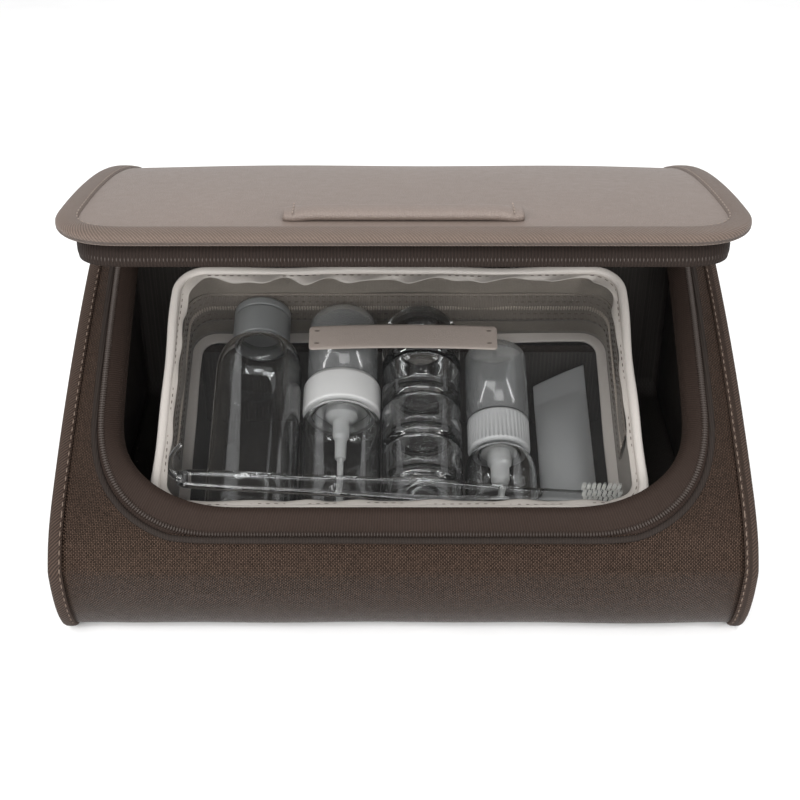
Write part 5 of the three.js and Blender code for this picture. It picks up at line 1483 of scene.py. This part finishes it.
def tube_body():
    """Rings on the way up from t = 0 to 1: (r cos a, t height, deep sin a), where deep goes from r to 1.1
    mm by t^1.4 and the sealed end runs up to one side, by 12 t (1 + cos a) / 2."""
    angle = np.linspace(0, 2 * np.pi, 72, endpoint=False)
    t = np.concatenate([np.linspace(0, 0.85, 40), np.linspace(0.86, 1, 10)])[:, None]
    deep = TUBE_R + (1.1 - TUBE_R) * np.minimum(1, t / 0.85) ** 1.4
    start = SEAT + 9.3
    points = np.stack([
        TUBE_X + TUBE_R * np.cos(angle) + 0 * t,
        start + t * (86 - start) + 12 * t * (1 + np.cos(angle)) / 2,
        BED + (TUBE_R + deep) / 2 + deep * np.sin(angle) * (1 - 0.1 * np.sin(np.pi * t) * np.cos(2 * angle)),
    ], -1)
    return outwards(grid("tube", moved(points, POUCH_MATRIX), round_columns=True, caps=True))


dress(tube_body(), FROST, "pouch", "tube_body")
cap = rounded([(0, 0), (9.5, 0), (10.4, 0.9), (10.4, 8.2), (9.6, 9), (0, 9)], 0.6, 4)
standing("tube_cap", cap, TUBE_X, TUBE_R, SEAT, FROST, "tube_cap")

# %% Toothbrush
BRUSH_TURN = math.radians(2.3)
BRUSH_MATRIX = np.eye(4)
BRUSH_MATRIX[0, 0] = BRUSH_MATRIX[2, 2] = math.cos(BRUSH_TURN)
BRUSH_MATRIX[0, 2], BRUSH_MATRIX[2, 0] = math.sin(BRUSH_TURN), -math.sin(BRUSH_TURN)
BRUSH_MATRIX[:3, 3] = [-90.8, 0, 43.3]
BRUSH = POUCH_MATRIX @ BRUSH_MATRIX
BRUSH_LONG, HEAD_START, HEAD_Y = 179.3, 161.8, 12.4


def brush_handle():
    """Ovals along the brush: (s, middle + 2 half a, tall b), with a and b round an oval and half the width
    that the knots give, evened over 7 places."""
    share = np.linspace(0, 1, 240)
    knots = [0, 0.015, 0.1, 0.34, 0.55, 0.76, HEAD_START / BRUSH_LONG, 0.95, 0.985, 1]
    half = np.interp(share, knots, [2.6, 4.2, 4.6, 4.6, 5.7, 3.6, 3.0, 4.8, 4.4, 0.8])
    half = np.convolve(np.pad(half, 3, mode="edge"), np.ones(7) / 7, "valid")
    half[-1] = 0.3
    middle = 18.2 + (HEAD_Y - 18.2) * share
    path = np.column_stack([share * BRUSH_LONG, middle, 0 * share])
    a, b = oval(1.0, 1.0, 28, 2.6).T
    tall = np.interp(share, [0, 0.02, 0.98, 1], [0.6, 3.8, 3.8, 0.6])
    size = np.stack([0 * half, 2 * half, tall], -1)
    points = path[:, None] + np.stack([0 * a, a, b], -1)[None] * size[:, None]
    return outwards(grid("toothbrush", moved(points, BRUSH), round_columns=True, caps=True))


def brush_tail():
    """The bent tail at the handle's end: a tapering oval along two curves that meet smoothly enough."""
    bend = quadratic((3.0, 18.4), (-4.6, 20.0), (-3.4, 27.0), 16)
    tip = quadratic((-3.4, 27.0), (-2.4, 31.5), (0.6, 35), 10)
    path = np.concatenate([bend, tip[1:]])
    path = np.column_stack([path, 0 * path[:, 0]])
    taper = np.linspace(1, 0.3, len(path))
    return carried("tail", path, alike(Z_AXIS, path), oval(4.6, 3.0, 20), matrix=BRUSH, scale=taper)


handle = brush_handle()
handle = joined("toothbrush", [handle, brush_tail()])
dress(handle, CLEAR, "pouch", "toothbrush_handle")


# %% Tufts
def tufts():
    """8 by 3 tufts of 19 hairs. Hair k stands at an angle of 2.4 k and a distance of 0.72 sqrt(k / 19) mm
    from its tuft's middle, and leans by 0.05 times a random number each way."""
    hairs = 19
    rng = np.random.default_rng(11)
    places = np.meshgrid(np.arange(8), np.arange(3), np.arange(hairs), indexing="ij")
    column, row, hair = (place.ravel() for place in places)
    spin, away = hair * 2.4, 0.72 * np.sqrt(hair / hairs)
    x = HEAD_START + (BRUSH_LONG - HEAD_START - 7 * 2.05) / 2 + column * 2.05 + away * np.cos(spin)
    y = HEAD_Y + (row - 1) * 3.0 + away * np.sin(spin)
    foot = np.stack([x, y, np.full(len(x), 4.9)], -1)
    lean = [0.05 * rng.standard_normal(len(x)), 0.05 * rng.standard_normal(len(x)), np.ones(len(x))]
    lean = np.stack(lean, -1)
    lean /= np.linalg.norm(lean, axis=1, keepdims=True)
    return beads("bristles", foot, lean, alike(X_AXIS, foot), (5.4, 0.3, 0.3), 5, matrix=BRUSH)


brush = tufts()
dress(brush, TUFT, "pouch", "toothbrush_tufts")
print(len(brush.data.vertices), "points in the tufts")

# %% [markdown]
# ## Inside the bag, and metal
# A slip pocket stands in front of the back wall. It is one grid along a bent line, pulled in a little in
# its middle as hanging cloth is. The sliders and their pulls are small and hard, so they keep the frame's
# mesh, in metal.


# %% Slip pocket
def pocket_sheet(plan):
    """The pocket's line at each height, moved back by 0.6 bow sag, with bow = sin(pi x share) along it and
    sag = 1.2 sin^2(pi z share) up it."""
    height = np.linspace(4.6, 47, 24)
    sag = 1.2 * np.sin(np.pi * np.clip((height - 4.6) / 42.4, 0, 1)) ** 2
    bow = np.sin(np.pi * np.clip((plan[:, 0] + 95) / 190, 0, 1))
    y = plan[:, None, 1] + bow[:, None] * sag[None] * 0.6
    return np.stack(np.broadcast_arrays(plan[:, None, 0], y, height[None]), -1)


plan = even(rounded([(-95, 87), (-95, 58.6), (95, 58.6), (95, 87)], 5, 6), 2.0)
pocket = thick(grid("pocket", pocket_sheet(plan)), 0.8, offset=0)
dress(pocket, LINING, "bag", "inner_pocket")
hem_path = np.column_stack([plan, np.full(len(plan), 46.4)])
hem = carried("pocket_hem", hem_path, alike(Z_AXIS, plan), oval(1.8, 3.6, 14, 2.6))
dress(hem, TAPE, "bag")
print(len(pocket.data.vertices), "points in the slip pocket")


# %% Metal and the base board
def finish(material, *names):
    """Gives nodes of the frame a material and leaves their mesh alone."""
    for name in names:
        slots = frame["nodes"][name].data.materials
        slots.clear()
        slots.append(material)


finish(METAL, "slider_left", "slider_right", "slider_pull_left", "slider_pull_right", "pouch_slider",
       "pouch_slider_pull")
finish(LINING, "base_board")


# %% Floor
def floor():
    """A wide pale ground, 5 m square, that takes the bag's shadow."""
    reach = 2500.0
    points = np.array([(-reach, -reach, 0), (reach, -reach, 0), (reach, reach, 0), (-reach, reach, 0)])
    obj = make("floor", points, [[0, 1, 2, 3]])
    obj.data.materials.append(hard("white_paper", (250, 250, 250), rough=0.9, grain=0.02))
    return obj


floor()
